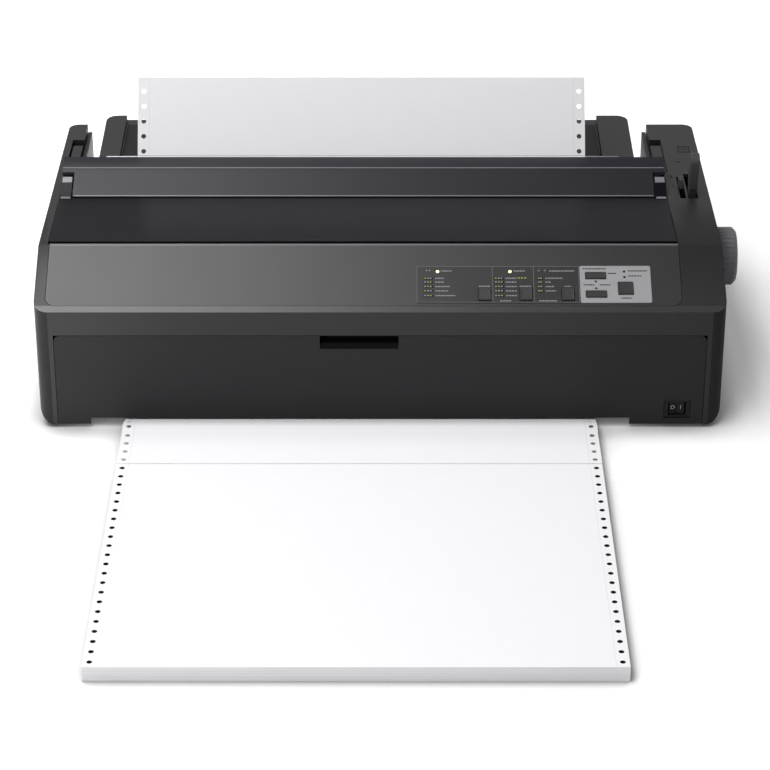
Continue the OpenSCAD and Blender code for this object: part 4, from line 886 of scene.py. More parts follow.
@dataclass
class Case(Part):
    """The upper and lower case, the marks on the right rail, the rear sockets and the feet.

    Attributes:
        corner: Where the round front corners begin, from the middle, and how deep they reach.
        corner_turn: How far a corner's faces look forward at least, and up or down at most.
        vents: Height of the middle of the vents.
        vent_ends: Depths in front of the vents and behind them.
        lip: Height of the lip's lower and upper edge, and its depth.
        lip_rise: How much higher that lower edge is drawn.
        lip_turn: How far the lip's face looks forward and up at least.
        lip_slack: How near the lip's plane its corners lie.
        lip_share: The part of the lip's depth whose corners are raised.
        deck: Height at which the figures begin, on the right rail.
        figure_x: Middle of the figures beside the thickness lever.
        figure_y: Depth of each figure.
        figure_size: Size of the figures' letters.
        figure_rise: How far they stand out.
        sign: Place of the sheet-and-roller sign.
        sign_bars: Both ends of each of its bars across, in depth and in height, from that place. The last is its mark.
        ports: The rear ports.
        back: Depth of the case.
        inlet: Middle of the mains inlet across and in height.
        prong_places: Middle of each prong across and in height, from the inlet's.
        prong_half: Half of a prong's width and height.
        prong_ends: Where the prongs begin and end, in front of the case's back.
    """

    corner: Pair = (260.0, 12.0)
    corner_turn: Pair = (0.15, 0.2)
    vents: float = 68.0
    vent_ends: Pair = (142.0, 264.0)
    lip: Triple = (97.6, 105.0, 6.5)
    lip_rise: float = 4.9
    lip_turn: Pair = (0.2, 0.8)
    lip_slack: float = 0.12
    lip_share: Pair = (-0.01, 0.99)
    deck: float = 132.6
    figure_x: float = 243.9
    figure_y: Triple = (156.0, 175.0, 194.0)
    figure_size: float = 6.75
    figure_rise: float = 0.07
    sign: Triple = (260.0, 253.0, 132.32)
    sign_bars: tuple[tuple[Pair, Pair, Pair], ...] = (
        ((-5.0, 5.0), (-6.0, -5.2), (0.0, 0.12)),
        ((-5.0, 5.0), (5.2, 6.0), (0.0, 0.12)),
        ((-5.0, -4.2), (-6.0, 6.0), (0.0, 0.12)),
        ((4.2, 5.0), (-6.0, 6.0), (0.0, 0.12)),
        ((-2.6, 2.6), (-0.4, 0.4), (0.0, 0.12)),
        ((-8.5, -5.5), (-27.5, -26.3), (0.1, 0.25)),
    )
    ports: tuple[Port, ...] = (Port(-150.0, 62.0, 14.6, 13.0), Port(-60.0, 14.0, 14.6, 12.0))
    back: float = 309.0
    inlet: Pair = (120.0, 22.0)
    prong_places: tuple[Pair, ...] = ((-7.0, -1.5), (7.0, -1.5), (0.0, 1.8))
    prong_half: Pair = (1.0, 2.0)
    prong_ends: Pair = (17.0, 5.0)

    def build(self) -> None:
        """Builds the case."""
        self.shell("upper_case")
        self.shell("lower_case")
        self.shop.rounded("rubber_feet", Look.RUBBER, Body.CASE, 0.5, 3)
        self.figures()
        self.paper_sign()
        self.sockets()
        self.prongs()

    def shell(self, node: str) -> None:
        """Rounds one half of the case, with the lip in front drawn narrower; the front corners get a darker, duller
        finish as painted shade, and the lip a lighter, glossier one as a painted highlight.
        """
        piece = self.shop.copy(f"{node}_shape", node)
        if node == "upper_case":
            self.narrow_lip(piece)
            cut(piece, [self.at(0.0, 0.0, self.vents)], Vector((0, 0, 1)))
            cut(piece, [self.at(0.0, y, 0.0) for y in self.vent_ends], Vector((0, 1, 0)))
        self.shop.paint(bevel(piece, 0.7, 3), Look.CASE)
        # The rounded front corners under the lip get a darker, duller finish: painted shade.
        self.shop.single_out(piece, Look.POST, self.on_corner)
        # The lip's faces get a lighter, glossier finish: a painted highlight.
        self.shop.single_out(piece, Look.LIP, self.on_lip)
        self.shop.done(piece, Look.CASE, Body.CASE, node)

    def on_corner(self, place: Vector, normal: Vector) -> bool:
        """Says whether a face lies on a rounded front corner, under the lip, which gets the painted shade."""
        forward, upward = self.corner_turn
        there = abs(place.x) > self.corner[0] and place.y < self.corner[1]
        return there and normal.y < -forward and abs(normal.z) < upward

    def on_lip(self, place: Vector, normal: Vector) -> bool:
        """Says whether a face lies on the lip in front of the panel, which gets the painted highlight."""
        forward, upward = self.lip_turn
        return normal.y < -forward and normal.z > upward and place.z > self.lip[0] and place.y < self.lip[2]

    def narrow_lip(self, piece: bpy.types.Object) -> None:
        """Raises the lower edge of the lip in front, round both corners of the case."""
        low, high, depth = self.lip
        first, last = self.lip_share
        raised = low + self.lip_rise
        for vertex in piece.data.vertices:
            place = self.shop.datum.own(vertex.co)
            share = place.y / depth
            if first < share < last and abs(place.z - low - (high - low) * share) < self.lip_slack:
                vertex.co.z += (raised + (high - raised) * share - place.z) * MM

    def figures(self) -> None:
        """Builds the raised figures of the thickness scale."""
        made = []
        for number, depth in enumerate(self.figure_y, start=1):
            deselect()
            bpy.ops.object.text_add(location=self.at(self.figure_x, depth, self.deck))
            text = bpy.context.object
            text.data.body = str(number)
            text.data.size = self.figure_size * MM
            text.data.extrude = self.figure_rise * MM
            text.data.align_x = "CENTER"
            text.data.align_y = "CENTER"
            bpy.ops.object.convert(target="MESH")
            made.append(settle())
        self.shop.done(join("scale_figures", made), Look.DARK_PRINT, Body.CASE)

    def paper_sign(self) -> None:
        """Builds the small sheet-and-roller sign behind the release lever, and its mark."""
        bars = []
        for bar in self.sign_bars:
            x, y, z = ((middle + low, middle + high) for middle, (low, high) in zip(self.sign, bar))
            bars.append(self.slab("bar", x, y, z))
        self.shop.done(join("rail_sign", bars), Look.DARK_PRINT, Body.CASE)

    def inwards(self, ends: Pair) -> Pair:
        """Gives two depths that are measured from the case's back."""
        return (self.back - ends[0], self.back - ends[1])

    def sockets(self) -> None:
        """Builds the metal shells of the two rear ports with their contact rows."""
        for number, port in enumerate(self.ports, start=1):
            left, right = port.x - port.width / 2, port.x + port.width / 2
            shell = self.slab(f"port_shell_{number}", (left + port.gap, right - port.gap), self.inwards(port.shell),
                              (port.foot + port.gap, port.foot + port.height - port.gap))
            hollow(shell, Vector((0, 1, 0)), port.rim, port.sunk)
            self.shop.done(bevel(shell, 0.12), Look.STEEL, Body.CASE)
            self.core(f"port_core_{number}", port)

    def core(self, name: str, port: Port) -> None:
        """Builds a port's tongue with its row of contacts."""
        left, right, middle = port.x - port.width / 2, port.x + port.width / 2, port.foot + port.height / 2
        (beside, first), (thick, high) = port.sides, port.halves
        parts = [self.slab("tongue", (left + beside, right - beside), self.inwards(port.tongue),
                           (middle - thick, middle + thick))]
        for i in range(int((port.width - port.bare) / port.pitch)):
            start = left + first + i * port.pitch
            parts.append(self.slab("contact", (start, start + port.contact), self.inwards(port.contacts),
                                   (middle - high, middle + high)))
        piece = self.shop.paint(join(name, parts), Look.BLACK)
        self.shop.single_out(piece, Look.STEEL, lambda place, normal: abs(place.z - middle) > (thick + high) / 2)
        self.shop.done(bevel(piece, 0.08, 1), Look.BLACK, Body.CASE)

    def prongs(self) -> None:
        """Builds the mains inlet with its three prongs."""
        self.shop.rounded("mains_inlet", Look.BLACK, Body.CASE, 0.4)
        wide, high = self.prong_half
        blades = []
        for across, up in self.prong_places:
            x, z = self.inlet[0] + across, self.inlet[1] + up
            blades.append(self.slab("prong", (x - wide, x + wide), self.inwards(self.prong_ends), (z - high, z + high)))
        self.shop.done(bevel(join("inlet_prongs", blades), 0.5), Look.STEEL, Body.CASE)


@dataclass
class FrontCover(Part):
    """The hinged front cover and the power switch.

    Attributes:
        pocket_x: Both ends of the finger pocket.
        pocket_y: Front and rear of the pocket.
        pocket_z: Lowest height of the pocket.
        off: Place of the round off mark on the rocker.
        off_ring: Radius of that mark and of its line.
        off_turn: Its turn in degrees.
        on: Place of the straight on mark.
        on_half: Half of that mark's width, depth and height.
        on_turn: Its turn in degrees.
    """

    pocket_x: Pair = (-47.5, 14.5)
    pocket_y: Pair = (0.5, 9.6)
    pocket_z: float = 70.2
    off: Triple = (233.3, 3.38, 16.25)
    off_ring: Pair = (1.5, 0.2)
    off_turn: float = 20.0
    on: Triple = (239.7, 3.7, 16.25)
    on_half: Triple = (0.22, 0.12, 1.7)
    on_turn: float = -15.0

    def build(self) -> None:
        """Builds the cover and the switch."""
        cover = self.shop.paint(bevel(self.shop.copy("front_cover_shape", "front_cover"), 0.8, 3), Look.COVER)
        self.shop.single_out(cover, Look.POCKET, self.in_pocket)
        self.shop.done(cover, Look.COVER, Body.FRONT_COVER, "front_cover")
        self.shop.rounded("power_switch", Look.BLACK, Body.CASE, 0.3)
        self.shop.rounded("power_rocker", Look.BLACK, Body.ROCKER, 0.35, 3)
        self.rocker_marks()

    def in_pocket(self, place: Vector, normal: Vector) -> bool:
        """Says whether a face lies inside the finger pocket."""
        (left, right), (front, rear) = self.pocket_x, self.pocket_y
        return left < place.x < right and front < place.y < rear and place.z > self.pocket_z and normal.z > -ALONG

    def rocker_marks(self) -> None:
        """Builds the on and off marks on the two faces of the rocker."""
        radius, line = self.off_ring
        deselect()
        bpy.ops.mesh.primitive_torus_add(location=self.at(*self.off),
                                         rotation=(math.radians(90), 0, math.radians(self.off_turn)),
                                         major_radius=radius * MM, minor_radius=line * MM,
                                         major_segments=32, minor_segments=8)
        ring = settle()
        middle, half = self.at(*self.on), Vector(self.on_half) * MM
        bar = block("bar", middle - half, middle + half, Euler((0, 0, math.radians(self.on_turn))))
        self.shop.done(join("rocker_marks", [ring, bevel(bar, 0.08)]), Look.PRINT, Body.ROCKER)


@dataclass(frozen=True)
class Column:
    """A column of settings printed on the panel.

    Attributes:
        dots: Where its dots begin, and where their place ends.
        words: Where its words begin.
        ends: Where the word of each row ends.
    """

    dots: Pair
    words: float
    ends: tuple[float, ...]


@dataclass
class ControlPanel(Part):
    """The sloped fascia with its marked area, silver plate, lamps and keys.

    Attributes:
        foot: Depth and height of the slope's lower edge.
        slope: Angle of the slope in degrees.
        plate: Height of the printed faces above the fascia.
        left: Left end of the marked area.
        seam: Where the silver plate begins.
        right: Right end of the silver plate.
        rows: Lowest and highest edge of both, up the slope.
        lamp_seam: Lamps left of this place are lit.
        ridge: Depth of the slope's upper edge.
        ridge_up: How far the faces behind that edge look up at least.
        key_rim: Width of a key's rim.
        key_sunk: Depth of a key's face inside its rim.
        sunk: How far the printed bars reach into the plates.
        dashes: Length of every third dash of a word, and of the other two.
        dash_half: Half of a dash's height.
        dash_gap: Room between two dashes.
        dash_least: A word ends this near its end.
        line: Width of a frame's line, and half the width of the silver plate's rim.
        frames: Where the lines between the frames stand.
        frame_inset: How far inside the marked area its frame lies, and the ends of its upright lines.
        silver_inset: The same for the rim of the silver plate.
        silver_rise: Height of that rim.
        top_words: Both ends of each word above the settings.
        top_up: Place of those words up the slope.
        top_dots: Each dot beside those words.
        top_rows: Lower and upper edge of those dots.
        columns: The columns of settings.
        wide: The place of a column's dots holds three of them if it is wider than this, or else two.
        dot: Width of a dot, and half of its height.
        well: How far a dark well reaches left and right of its dots, and under and over their middle.
        well_rise: Height of a well.
        settings_up: Place of each row of settings, up the slope.
        key_words: Both ends of each word above the keys, and its place up the slope.
        pause_dots: Both ends of each of the dots right of the second column.
        pause_rows: Lower and upper edge of those dots.
        silver_words: Both ends of each word on the silver plate, and its place up the slope.
        arrows: Place of each arrow on the silver plate up the slope, and its turn in degrees.
        arrow_x: Place of both arrows across.
        arrow: Radius and height of an arrow.
    """

    foot: Pair = (6.5, 105.0)
    slope: float = 28.8451
    plate: float = 0.5
    left: float = 28.5
    seam: float = 157.5
    right: float = 213.5
    rows: Pair = (2.6, 38.1)
    lamp_seam: float = 150.0
    ridge: float = 57.0
    ridge_up: float = 0.97
    key_rim: float = 0.9
    key_sunk: float = 0.25
    sunk: float = 0.04
    dashes: Pair = (1.5, 2.1)
    dash_half: float = 0.5
    dash_gap: float = 0.45
    dash_least: float = 0.6
    line: float = 0.35
    frames: Pair = (88.6, 121.0)
    frame_inset: Pair = (0.5, 0.4)
    silver_inset: Pair = (0.8, 0.9)
    silver_rise: float = 0.12
    top_words: tuple[Pair, ...] = ((47.9, 56.5), (105.6, 114.2), (133.7, 153.3))
    top_up: float = 33.1
    top_dots: tuple[float, ...] = (36.7, 39.0, 125.2, 130.0)
    top_rows: Pair = (33.0, 34.2)
    columns: tuple[Column, ...] = (
        Column((34.5, 41.2), 43.5, (51.0, 51.0, 55.0, 53.4, 58.9)),
        Column((90.4, 97.2), 98.9, (107.4, 107.4, 107.4, 107.4, 107.4)),
        Column((124.2, 128.1), 130.3, (143.6, 134.4, 137.3, 138.4)),
    )
    wide: float = 5.0
    dot: Pair = (1.5, 0.6)
    well: tuple[Pair, Pair] = ((0.5, 0.4), (1.5, 0.9))
    well_rise: float = 0.02
    settings_up: tuple[float, ...] = (26.1, 22.4, 18.1, 13.9, 9.4)
    key_words: tuple[Triple, ...] = (
        (77.8, 86.7, 18.3), (110.0, 119.5, 18.3), (145.1, 150.2, 18.3), (94.3, 103.7, 4.4), (124.8, 138.4, 4.4))
    pause_dots: tuple[Pair, ...] = ((108.5, 110.2), (111.0, 112.7), (113.5, 115.2))
    pause_rows: Pair = (25.8, 27.0)
    silver_words: tuple[Triple, ...] = (
        (160.2, 178.2, 35.2), (160.2, 168.6, 19.7), (172.8, 182.0, 19.7), (179.7, 187.2, 30.8),
        (195.8, 211.0, 33.2), (195.8, 206.1, 28.3), (189.5, 197.8, 7.0))
    arrows: tuple[Pair, ...] = ((23.0, 180.0), (16.4, 0.0))
    arrow_x: float = 170.0
    arrow: Pair = (1.5, 0.08)

    def build(self) -> None:
        """Builds the panel."""
        self.shop.dress(Look.BOARD, "panel_board")
        fascia = self.shop.rounded("control_fascia", Look.FASCIA, Body.CASE, 0.7, 3)
        # The flat strip at the top of the slope gets a lighter finish: a painted highlight.
        self.shop.single_out(fascia, Look.EDGE, self.on_ridge)
        own = self.shop.datum.own
        seam = self.seam - 0.1
        self.portion("marked_area", "panel_plates", Look.LABEL, lambda place: own(place).x < seam)
        self.portion("silver_plate", "panel_plates", Look.SILVER, lambda place: own(place).x > seam, 0.2)
        lamps = self.lamp_seam
        self.portion("lit_lenses", "status_lamps", Look.LIT, lambda place: own(place).x < lamps, 0.35)
        self.portion("dark_lenses", "status_lamps", Look.UNLIT, lambda place: own(place).x > lamps, 0.25)
        for body in (Body.FONT, Body.PITCH, Body.FUNCTION, Body.LOAD, Body.FEED, Body.PAUSE):
            self.key(body)
        self.outlines()
        self.settings()
        self.silver_marks()

    def on_ridge(self, place: Vector, normal: Vector) -> bool:
        """Says whether a face lies on the flat strip at the top of the slope, which gets the painted highlight."""
        return normal.z > self.ridge_up and place.y > self.ridge

    def portion(
        self, name: str, node: str, look: Look, wanted: Callable[[Vector], bool], width: float = 0.12
    ) -> None:
        """Makes a piece of the wanted part of a node.

        Args:
            name: Name of the piece.
            node: The node.
            look: The piece's finish.
            wanted: Says from a corner's place in the frame whether it is kept.
            width: Width of the rounding in millimetres.
        """
        piece = erase(self.shop.copy(name, node), Element.CORNER, lambda corner: not wanted(corner.co))
        self.shop.done(bevel(piece, width), look, Body.CASE, node)

    def angle(self) -> float:
        """Gives the slope in radians."""
        return math.radians(self.slope)

    def on_slope(self, x: float, up: float, out: float) -> Vector:
        """Gives a place in the frame from a place on the slope.

        Args:
            x: Millimetres to the right of the case's middle.
            up: Millimetres up the slope.
            out: Millimetres above the fascia.

        Returns:
            The place in metres.
        """
        along, away = math.cos(self.angle()), math.sin(self.angle())
        return self.at(x, self.foot[0] + up * along - out * away, self.foot[1] + up * away + out * along)

    def key(self, body: Body) -> None:
        """Makes a key with a sunk face inside a rounded rim."""
        piece = self.shop.copy(f"{body.value}_cap", body.value)
        hollow(piece, Vector((0, -math.sin(self.angle()), math.cos(self.angle()))), self.key_rim, self.key_sunk)
        self.shop.done(bevel(piece, 0.3), Look.KEY, body, body.value)

    def bar(self, x: Pair, up: Pair, height: float = 0.05) -> bpy.types.Object:
        """Adds a thin printed bar on the plates.

        Args:
            x: Its two ends.
            up: Its lower and upper edge, up the slope.
            height: How far it stands out.

        Returns:
            The bar.
        """
        place = self.on_slope((x[0] + x[1]) / 2, (up[0] + up[1]) / 2, self.plate + height / 2)
        half = Vector((x[1] - x[0], up[1] - up[0], height + self.sunk)) * (MM / 2)
        return block("bar", place - half, place + half, Euler((self.angle(), 0, 0)))

    def words(self, x: Pair, up: float) -> list[bpy.types.Object]:
        """Adds a row of small dashes that stands for an unread word.

        Args:
            x: Its two ends.
            up: Its place up the slope.

        Returns:
            The dashes; every third one is shorter.
        """
        short, long = self.dashes
        made, left = [], x[0]
        while left < x[1] - self.dash_least:
            right = min(left + (long if len(made) % 3 else short), x[1])
            made.append(self.bar((left, right), (up - self.dash_half, up + self.dash_half)))
            left = right + self.dash_gap
        return made

    def outlines(self) -> None:
        """Builds the fine frames round the marked areas and the silver plate."""
        low, high = self.rows
        line, (level_in, upright_in), (rim_in, side_in) = self.line, self.frame_inset, self.silver_inset
        edges = (self.left + level_in, *self.frames, self.seam - rim_in)
        bars = [self.bar((x - line / 2, x + line / 2), (low + upright_in, high - upright_in)) for x in edges]
        bars += [self.bar((edges[0], edges[-1]), (up - line / 2, up + line / 2))
                 for up in (low + level_in, high - level_in)]
        self.shop.done(join("panel_frames", bars), Look.FRAME_PRINT, Body.CASE)
        ends, thick = (self.seam + rim_in, self.right - rim_in), self.silver_rise
        rim = [self.bar((x - line, x + line), (low + side_in, high - side_in), thick) for x in ends]
        rim += [self.bar(ends, (up - line, up + line), thick) for up in (low + rim_in, high - rim_in)]
        self.shop.done(bevel(join("silver_rim", rim), 0.08, 1), Look.SILVER, Body.CASE)

    def settings(self) -> None:
        """Builds the rows of setting marks and the dashes above the keys."""
        pale, amber, wells = [], [], []
        for x in self.top_words:
            pale += self.words(x, self.top_up)
        pale += [self.bar((x - self.dash_half, x + self.dash_half), self.top_rows) for x in self.top_dots]
        (before, after), (under, over) = self.well
        width, half = self.dot
        for column in self.columns:
            first, last = column.dots
            count = 3 if last - first > self.wide else 2
            for row, (up, end) in enumerate(zip(self.settings_up, column.ends)):
                pale += self.words((column.words, end), up)
                wells.append(self.bar((first - before, last + after), (up - under, up + over), self.well_rise))
                for i in range(count):
                    x = first + i * (last - first) / count
                    dot = self.bar((x, x + width), (up - half, up + half))
                    (amber if (row + i) % count == 0 else pale).append(dot)
        for left, right, up in self.key_words:
            pale += self.words((left, right), up)
        amber += [self.bar(x, self.pause_rows) for x in self.pause_dots]
        self.shop.done(join("setting_marks", pale), Look.GREY_PRINT, Body.CASE)
        self.shop.done(join("setting_wells", wells), Look.WELL, Body.CASE)
        self.shop.done(join("setting_dots", amber), Look.AMBER, Body.CASE)

    def silver_marks(self) -> None:
        """Builds the dark dashes and the two arrows on the silver plate."""
        dark = []
        for left, right, up in self.silver_words:
            dark += self.words((left, right), up)
        lean = Euler((self.angle(), 0, 0)).to_matrix()
        radius, height = self.arrow
        for up, turn in self.arrows:
            place = self.on_slope(self.arrow_x, up, self.plate + 0.03)
            deselect()
            bpy.ops.mesh.primitive_cylinder_add(vertices=3, radius=radius * MM, depth=height * MM, location=place)
            arrow = bpy.context.object
            arrow.rotation_euler = (lean @ Euler((0, 0, math.radians(turn))).to_matrix()).to_euler()
            dark.append(settle())
        self.shop.done(join("silver_marks", dark), Look.DARK_PRINT, Body.CASE)


@dataclass
class TopCovers(Part):
    """The smoked window and the rear cover behind it, with light strips and pads along their edges that are painted
    highlights.

    Attributes:
        crest: Depth, height and slope of the thin light strip along the rear cover's crest, a painted highlight.
        crest_inset: How far inside the window's sides that strip ends.
        riser: Depth, height and slope of the thin light strip along the riser's foot, a painted highlight.
        riser_inset: How far inside the window's ears that strip ends.
        fine: Half of the depth and height of both strips.
        ear: Width of each ear of the window.
        pads: Depth, height, length and slope of each light pad on an ear, a painted highlight.
        pad_side: Room beside a pad.
        pad_half: Half of a pad's thickness.
    """

    crest: Triple = (180.0, 147.0, 16.0)
    crest_inset: float = 0.6
    riser: Triple = (151.3, 134.35, 24.0)
    riser_inset: float = 1.2
    fine: Pair = (0.5, 0.12)
    ear: float = 10.0
    pads: tuple[tuple[float, float, float, float], ...] = ((167.6, 141.5, 6.2, 23.3), (148.4, 133.85, 2.6, 11.0))
    pad_side: float = 1.0
    pad_half: float = 0.3

    def build(self) -> None:
        """Builds both covers."""
        # The rear cover takes the lighter copy of the smoked plastic: painted light.
        self.shop.rounded("rear_cover", Look.RISER, Body.REAR_COVER, 0.6, 3)
        self.shop.rounded("front_window", Look.SMOKED, Body.WINDOW, 0.6, 3)
        low, high = (self.shop.datum.own(corner).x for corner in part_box("front_window"))
        inner = self.ear + self.riser_inset
        # Thin light strips along the crest and the riser's foot: painted highlights.
        self.edge("crest_highlight", (low + self.crest_inset, high - self.crest_inset), self.crest)
        self.edge("riser_highlight", (low + inner, high - inner), self.riser)
        # Light pads on both ears of the window: painted highlights.
        pad_highlights = []
        for x in (low + self.ear / 2, high - self.ear / 2):
            for y, z, length, slope in self.pads:
                middle = self.at(x, y, z)
                half = Vector((self.ear / 2 - self.pad_side, length / 2, self.pad_half)) * MM
                pad_highlights.append(block("step", middle - half, middle + half, Euler((math.radians(slope), 0, 0))))
        self.shop.done(bevel(join("ear_highlights", pad_highlights), 0.15), Look.CREST, Body.WINDOW)

    def edge(self, name: str, x: Pair, line: Triple) -> None:
        """Adds a thin light strip along the rear cover: a painted highlight.

        Args:
            name: Name of the piece.
            x: Its two ends.
            line: Its depth, height and slope in degrees.
        """
        depth, height, slope = line
        half = Vector(((x[1] - x[0]) / 2, *self.fine)) * MM
        middle = self.at((x[0] + x[1]) / 2, depth, height)
        strip = block(name, middle - half, middle + half, Euler((math.radians(slope), 0, 0)))
        self.shop.done(bevel(strip, 0.06), Look.CREST, Body.REAR_COVER)


@dataclass
class PaperGuide(Part):
    """The tilting guide behind the covers and its two sliding edge guides."""

    def build(self) -> None:
        """Builds the guides."""
        self.shop.rounded("paper_guide", Look.GUIDE, Body.PAPER_GUIDE, 0.9, 3)
        self.shop.rounded("edge_guide_left", Look.BLACK, Body.EDGE_LEFT, 0.3)
        self.shop.rounded("edge_guide_right", Look.BLACK, Body.EDGE_RIGHT, 0.3)


@dataclass
class Levers(Part):
    """The two levers on the right rail, their pin and the feed knob."""

    def build(self) -> None:
        """Builds the levers and the knob."""
        self.shop.rounded("thickness_lever", Look.LEVER, Body.THICKNESS, 0.9, 3)
        self.shop.rounded("release_lever", Look.LEVER, Body.RELEASE, 1.3, 4)
        self.shop.rounded("platen_knob", Look.KNOB, Body.PLATEN, 0.4)
        self.shop.dress(Look.STEEL, "lever_pin")


@dataclass(frozen=True)
class Chip:
    """A chip on the main board.

    Attributes:
        x: Its left side, from the board's corner.
        y: Its front, from the board's corner.
        width: Its width.
        depth: Its depth.
        height: Its height.
    """

    x: float
    y: float
    width: float
    depth: float
    height: float


@dataclass
class Mechanism(Part):
    """The frame, the carriage with head and ribbon, the platen, the gears, the tractors and the electronics.

    Attributes:
        board: Left front corner of the main board, and the height of its upper face.
        chips: The chips on it.
        cover: How far a package stands out round its chip.
        stand: How high above the board the packages begin.
        leg_pitch: Step from one leg to the next.
        leg_first: Place of the first leg, from the chip's left side.
        leg_half: Half of a leg's width.
        leg_reach: How far the legs reach in front of their chip and behind it.
        leg_ends: Lowest and highest height of the legs, from the board.
    """

    board: Triple = (-200.0, 212.0, 14.6)
    chips: tuple[Chip, ...] = (
        Chip(20.0, 14.0, 34.0, 24.0, 4.0),
        Chip(80.0, 19.0, 18.0, 18.0, 3.0),
        Chip(120.0, 12.0, 30.0, 12.0, 4.0),
        Chip(180.0, 18.0, 14.0, 30.0, 8.0),
    )
    cover: float = 0.2
    stand: float = 0.6
    leg_pitch: float = 2.54
    leg_first: float = 1.2
    leg_half: float = 0.25
    leg_reach: float = 1.4
    leg_ends: Pair = (-0.2, 1.4)

    def build(self) -> None:
        """Builds and dresses the mechanism."""
        shop = self.shop
        shop.dress(Look.BOARD, "main_board", "power_supply")
        shop.dress(Look.SHEET, "frame_left", "frame_right", "frame_brace", "front_rail", "paper_chutes")
        shop.dress(Look.STEEL, "guide_shaft", "platen_shaft", "tractor_shaft", "tractor_bar", "screws",
                   "drive_pulley", "idler_pulley", "feed_pinion")
        shop.dress(Look.WHITE, "platen_gear", "idler_gear", "platen_bushes")
        shop.dress(Look.RIBBON, "ribbon")
        shop.dress(Look.RUBBER, "carriage_belt")
        shop.dress(Look.BLACK, "tractor_left", "tractor_right", "tractor_flap_left", "tractor_flap_right")
        shop.rounded("platen_roller", Look.RUBBER, Body.PLATEN, 0.5)
        shop.rounded("carriage", Look.BLACK, Body.CARRIAGE, 0.5)
        shop.rounded("print_head", Look.MOTOR, Body.CARRIAGE, 0.4)
        shop.rounded("ribbon_cartridge", Look.BLACK, Body.CASE, 0.8)
        shop.rounded("ribbon_knob", Look.KNOB, Body.RIBBON_KNOB, 0.3)
        shop.rounded("carriage_motor", Look.MOTOR, Body.CASE, 0.8)
        shop.rounded("feed_motor", Look.MOTOR, Body.CASE, 0.8)
        self.chip_set()

    def chip_set(self) -> None:
        """Builds black packages with their rows of legs over the board's chips."""
        x0, y0, z0 = self.board
        over, reach = self.cover, self.leg_reach
        packages, legs = [], []
        for chip in self.chips:
            left, front = x0 + chip.x, y0 + chip.y
            right, rear = left + chip.width, front + chip.depth
            packages.append(self.slab("package", (left - over, right + over), (front - over, rear + over),
                                      (z0 + self.stand, z0 + chip.height + over)))
            for i in range(int(chip.width / self.leg_pitch)):
                at = left + self.leg_first + i * self.leg_pitch
                legs.append(self.slab("leg", (at - self.leg_half, at + self.leg_half), (front - reach, rear + reach),
                                      (z0 + self.leg_ends[0], z0 + self.leg_ends[1])))
        self.shop.done(bevel(join("chip_packages", packages), 0.4), Look.BLACK, Body.CASE)
        self.shop.done(bevel(join("chip_legs", legs), 0.1, 1), Look.STEEL, Body.CASE)


@dataclass
class Paper(Part):
    """The stack in front, the web through the printer and the free end behind it.

    Attributes:
        stack: The stack's left and right edge.
        run: The stack's front and rear edge.
        top: The stack's height.
        margin: The feed holes lie this far inside those edges at least.
        under: How far under the top the faces of the sides, and of the holes, have their middle at least.
        fold: Folds of the loose sheets that are sharper than this, in degrees, stay sharp.
    """

    stack: Pair = (-203.5, 171.5)
    run: Pair = (-359.8, -80.4)
    top: float = 12.0
    margin: float = 1.0
    under: Pair = (0.3, 0.5)
    fold: float = 30.0

    def build(self) -> None:
        """Builds the paper."""
        stack = bevel(self.shop.copy("stack_of_sheets", "paper_stack"), 0.25)
        # The faces inside the feed holes get nearly black paper: painted shade.
        self.shop.single_out(self.shop.paint(stack, Look.PAPER), Look.PUNCHED, self.in_hole)
        # The stack's sides get the darker paper: painted shade, with the lines between piled sheets.
        self.shop.single_out(stack, Look.PILE, self.on_edge)
        self.shop.done(stack, Look.PAPER, Body.CASE, "paper_stack")
        for node, look, body in (("paper_web", Look.PAPER, Body.CASE), ("paper_end", Look.FREE_END, Body.PAPER_END)):
            self.shop.done(level(smooth(self.shop.copy(f"{node}_sheet", node), self.fold)), look, body, node)

    def on_edge(self, place: Vector, normal: Vector) -> bool:
        """Says whether a face is one of the stack's four sides, which get the painted shade."""
        return abs(normal.z) < 0.3 and not self.in_hole(place, normal) and place.z < self.top - self.under[0]

    def in_hole(self, place: Vector, normal: Vector) -> bool:
        """Says whether a face of the stack lies inside a feed hole, which gets the painted shade."""
        across = self.stack[0] + self.margin < place.x < self.stack[1] - self.margin
        along = self.run[0] + self.margin < place.y < self.run[1] - self.margin
        return across and along and abs(normal.z) < 0.5 and place.z < self.top - self.under[1]


@dataclass(frozen=True)
class Lamp:
    """A soft lamp.

    Attributes:
        name: Its name.
        place: Where it stands, in metres.
        turn: Its turn in degrees; unturned, it shines straight down.
        size: Width and length in metres.
        power: Power in watts.
    """

    name: str
    place: Triple
    turn: Triple
    size: Pair
    power: float

    def build(self) -> None:
        """Adds the lamp."""
        deselect()
        bpy.ops.object.light_add(type="AREA", location=self.place, rotation=[math.radians(a) for a in self.turn])
        lamp = bpy.context.object
        lamp.name = self.name
        lamp.data.shape = "RECTANGLE"
        lamp.data.size, lamp.data.size_y = self.size
        lamp.data.energy = self.power


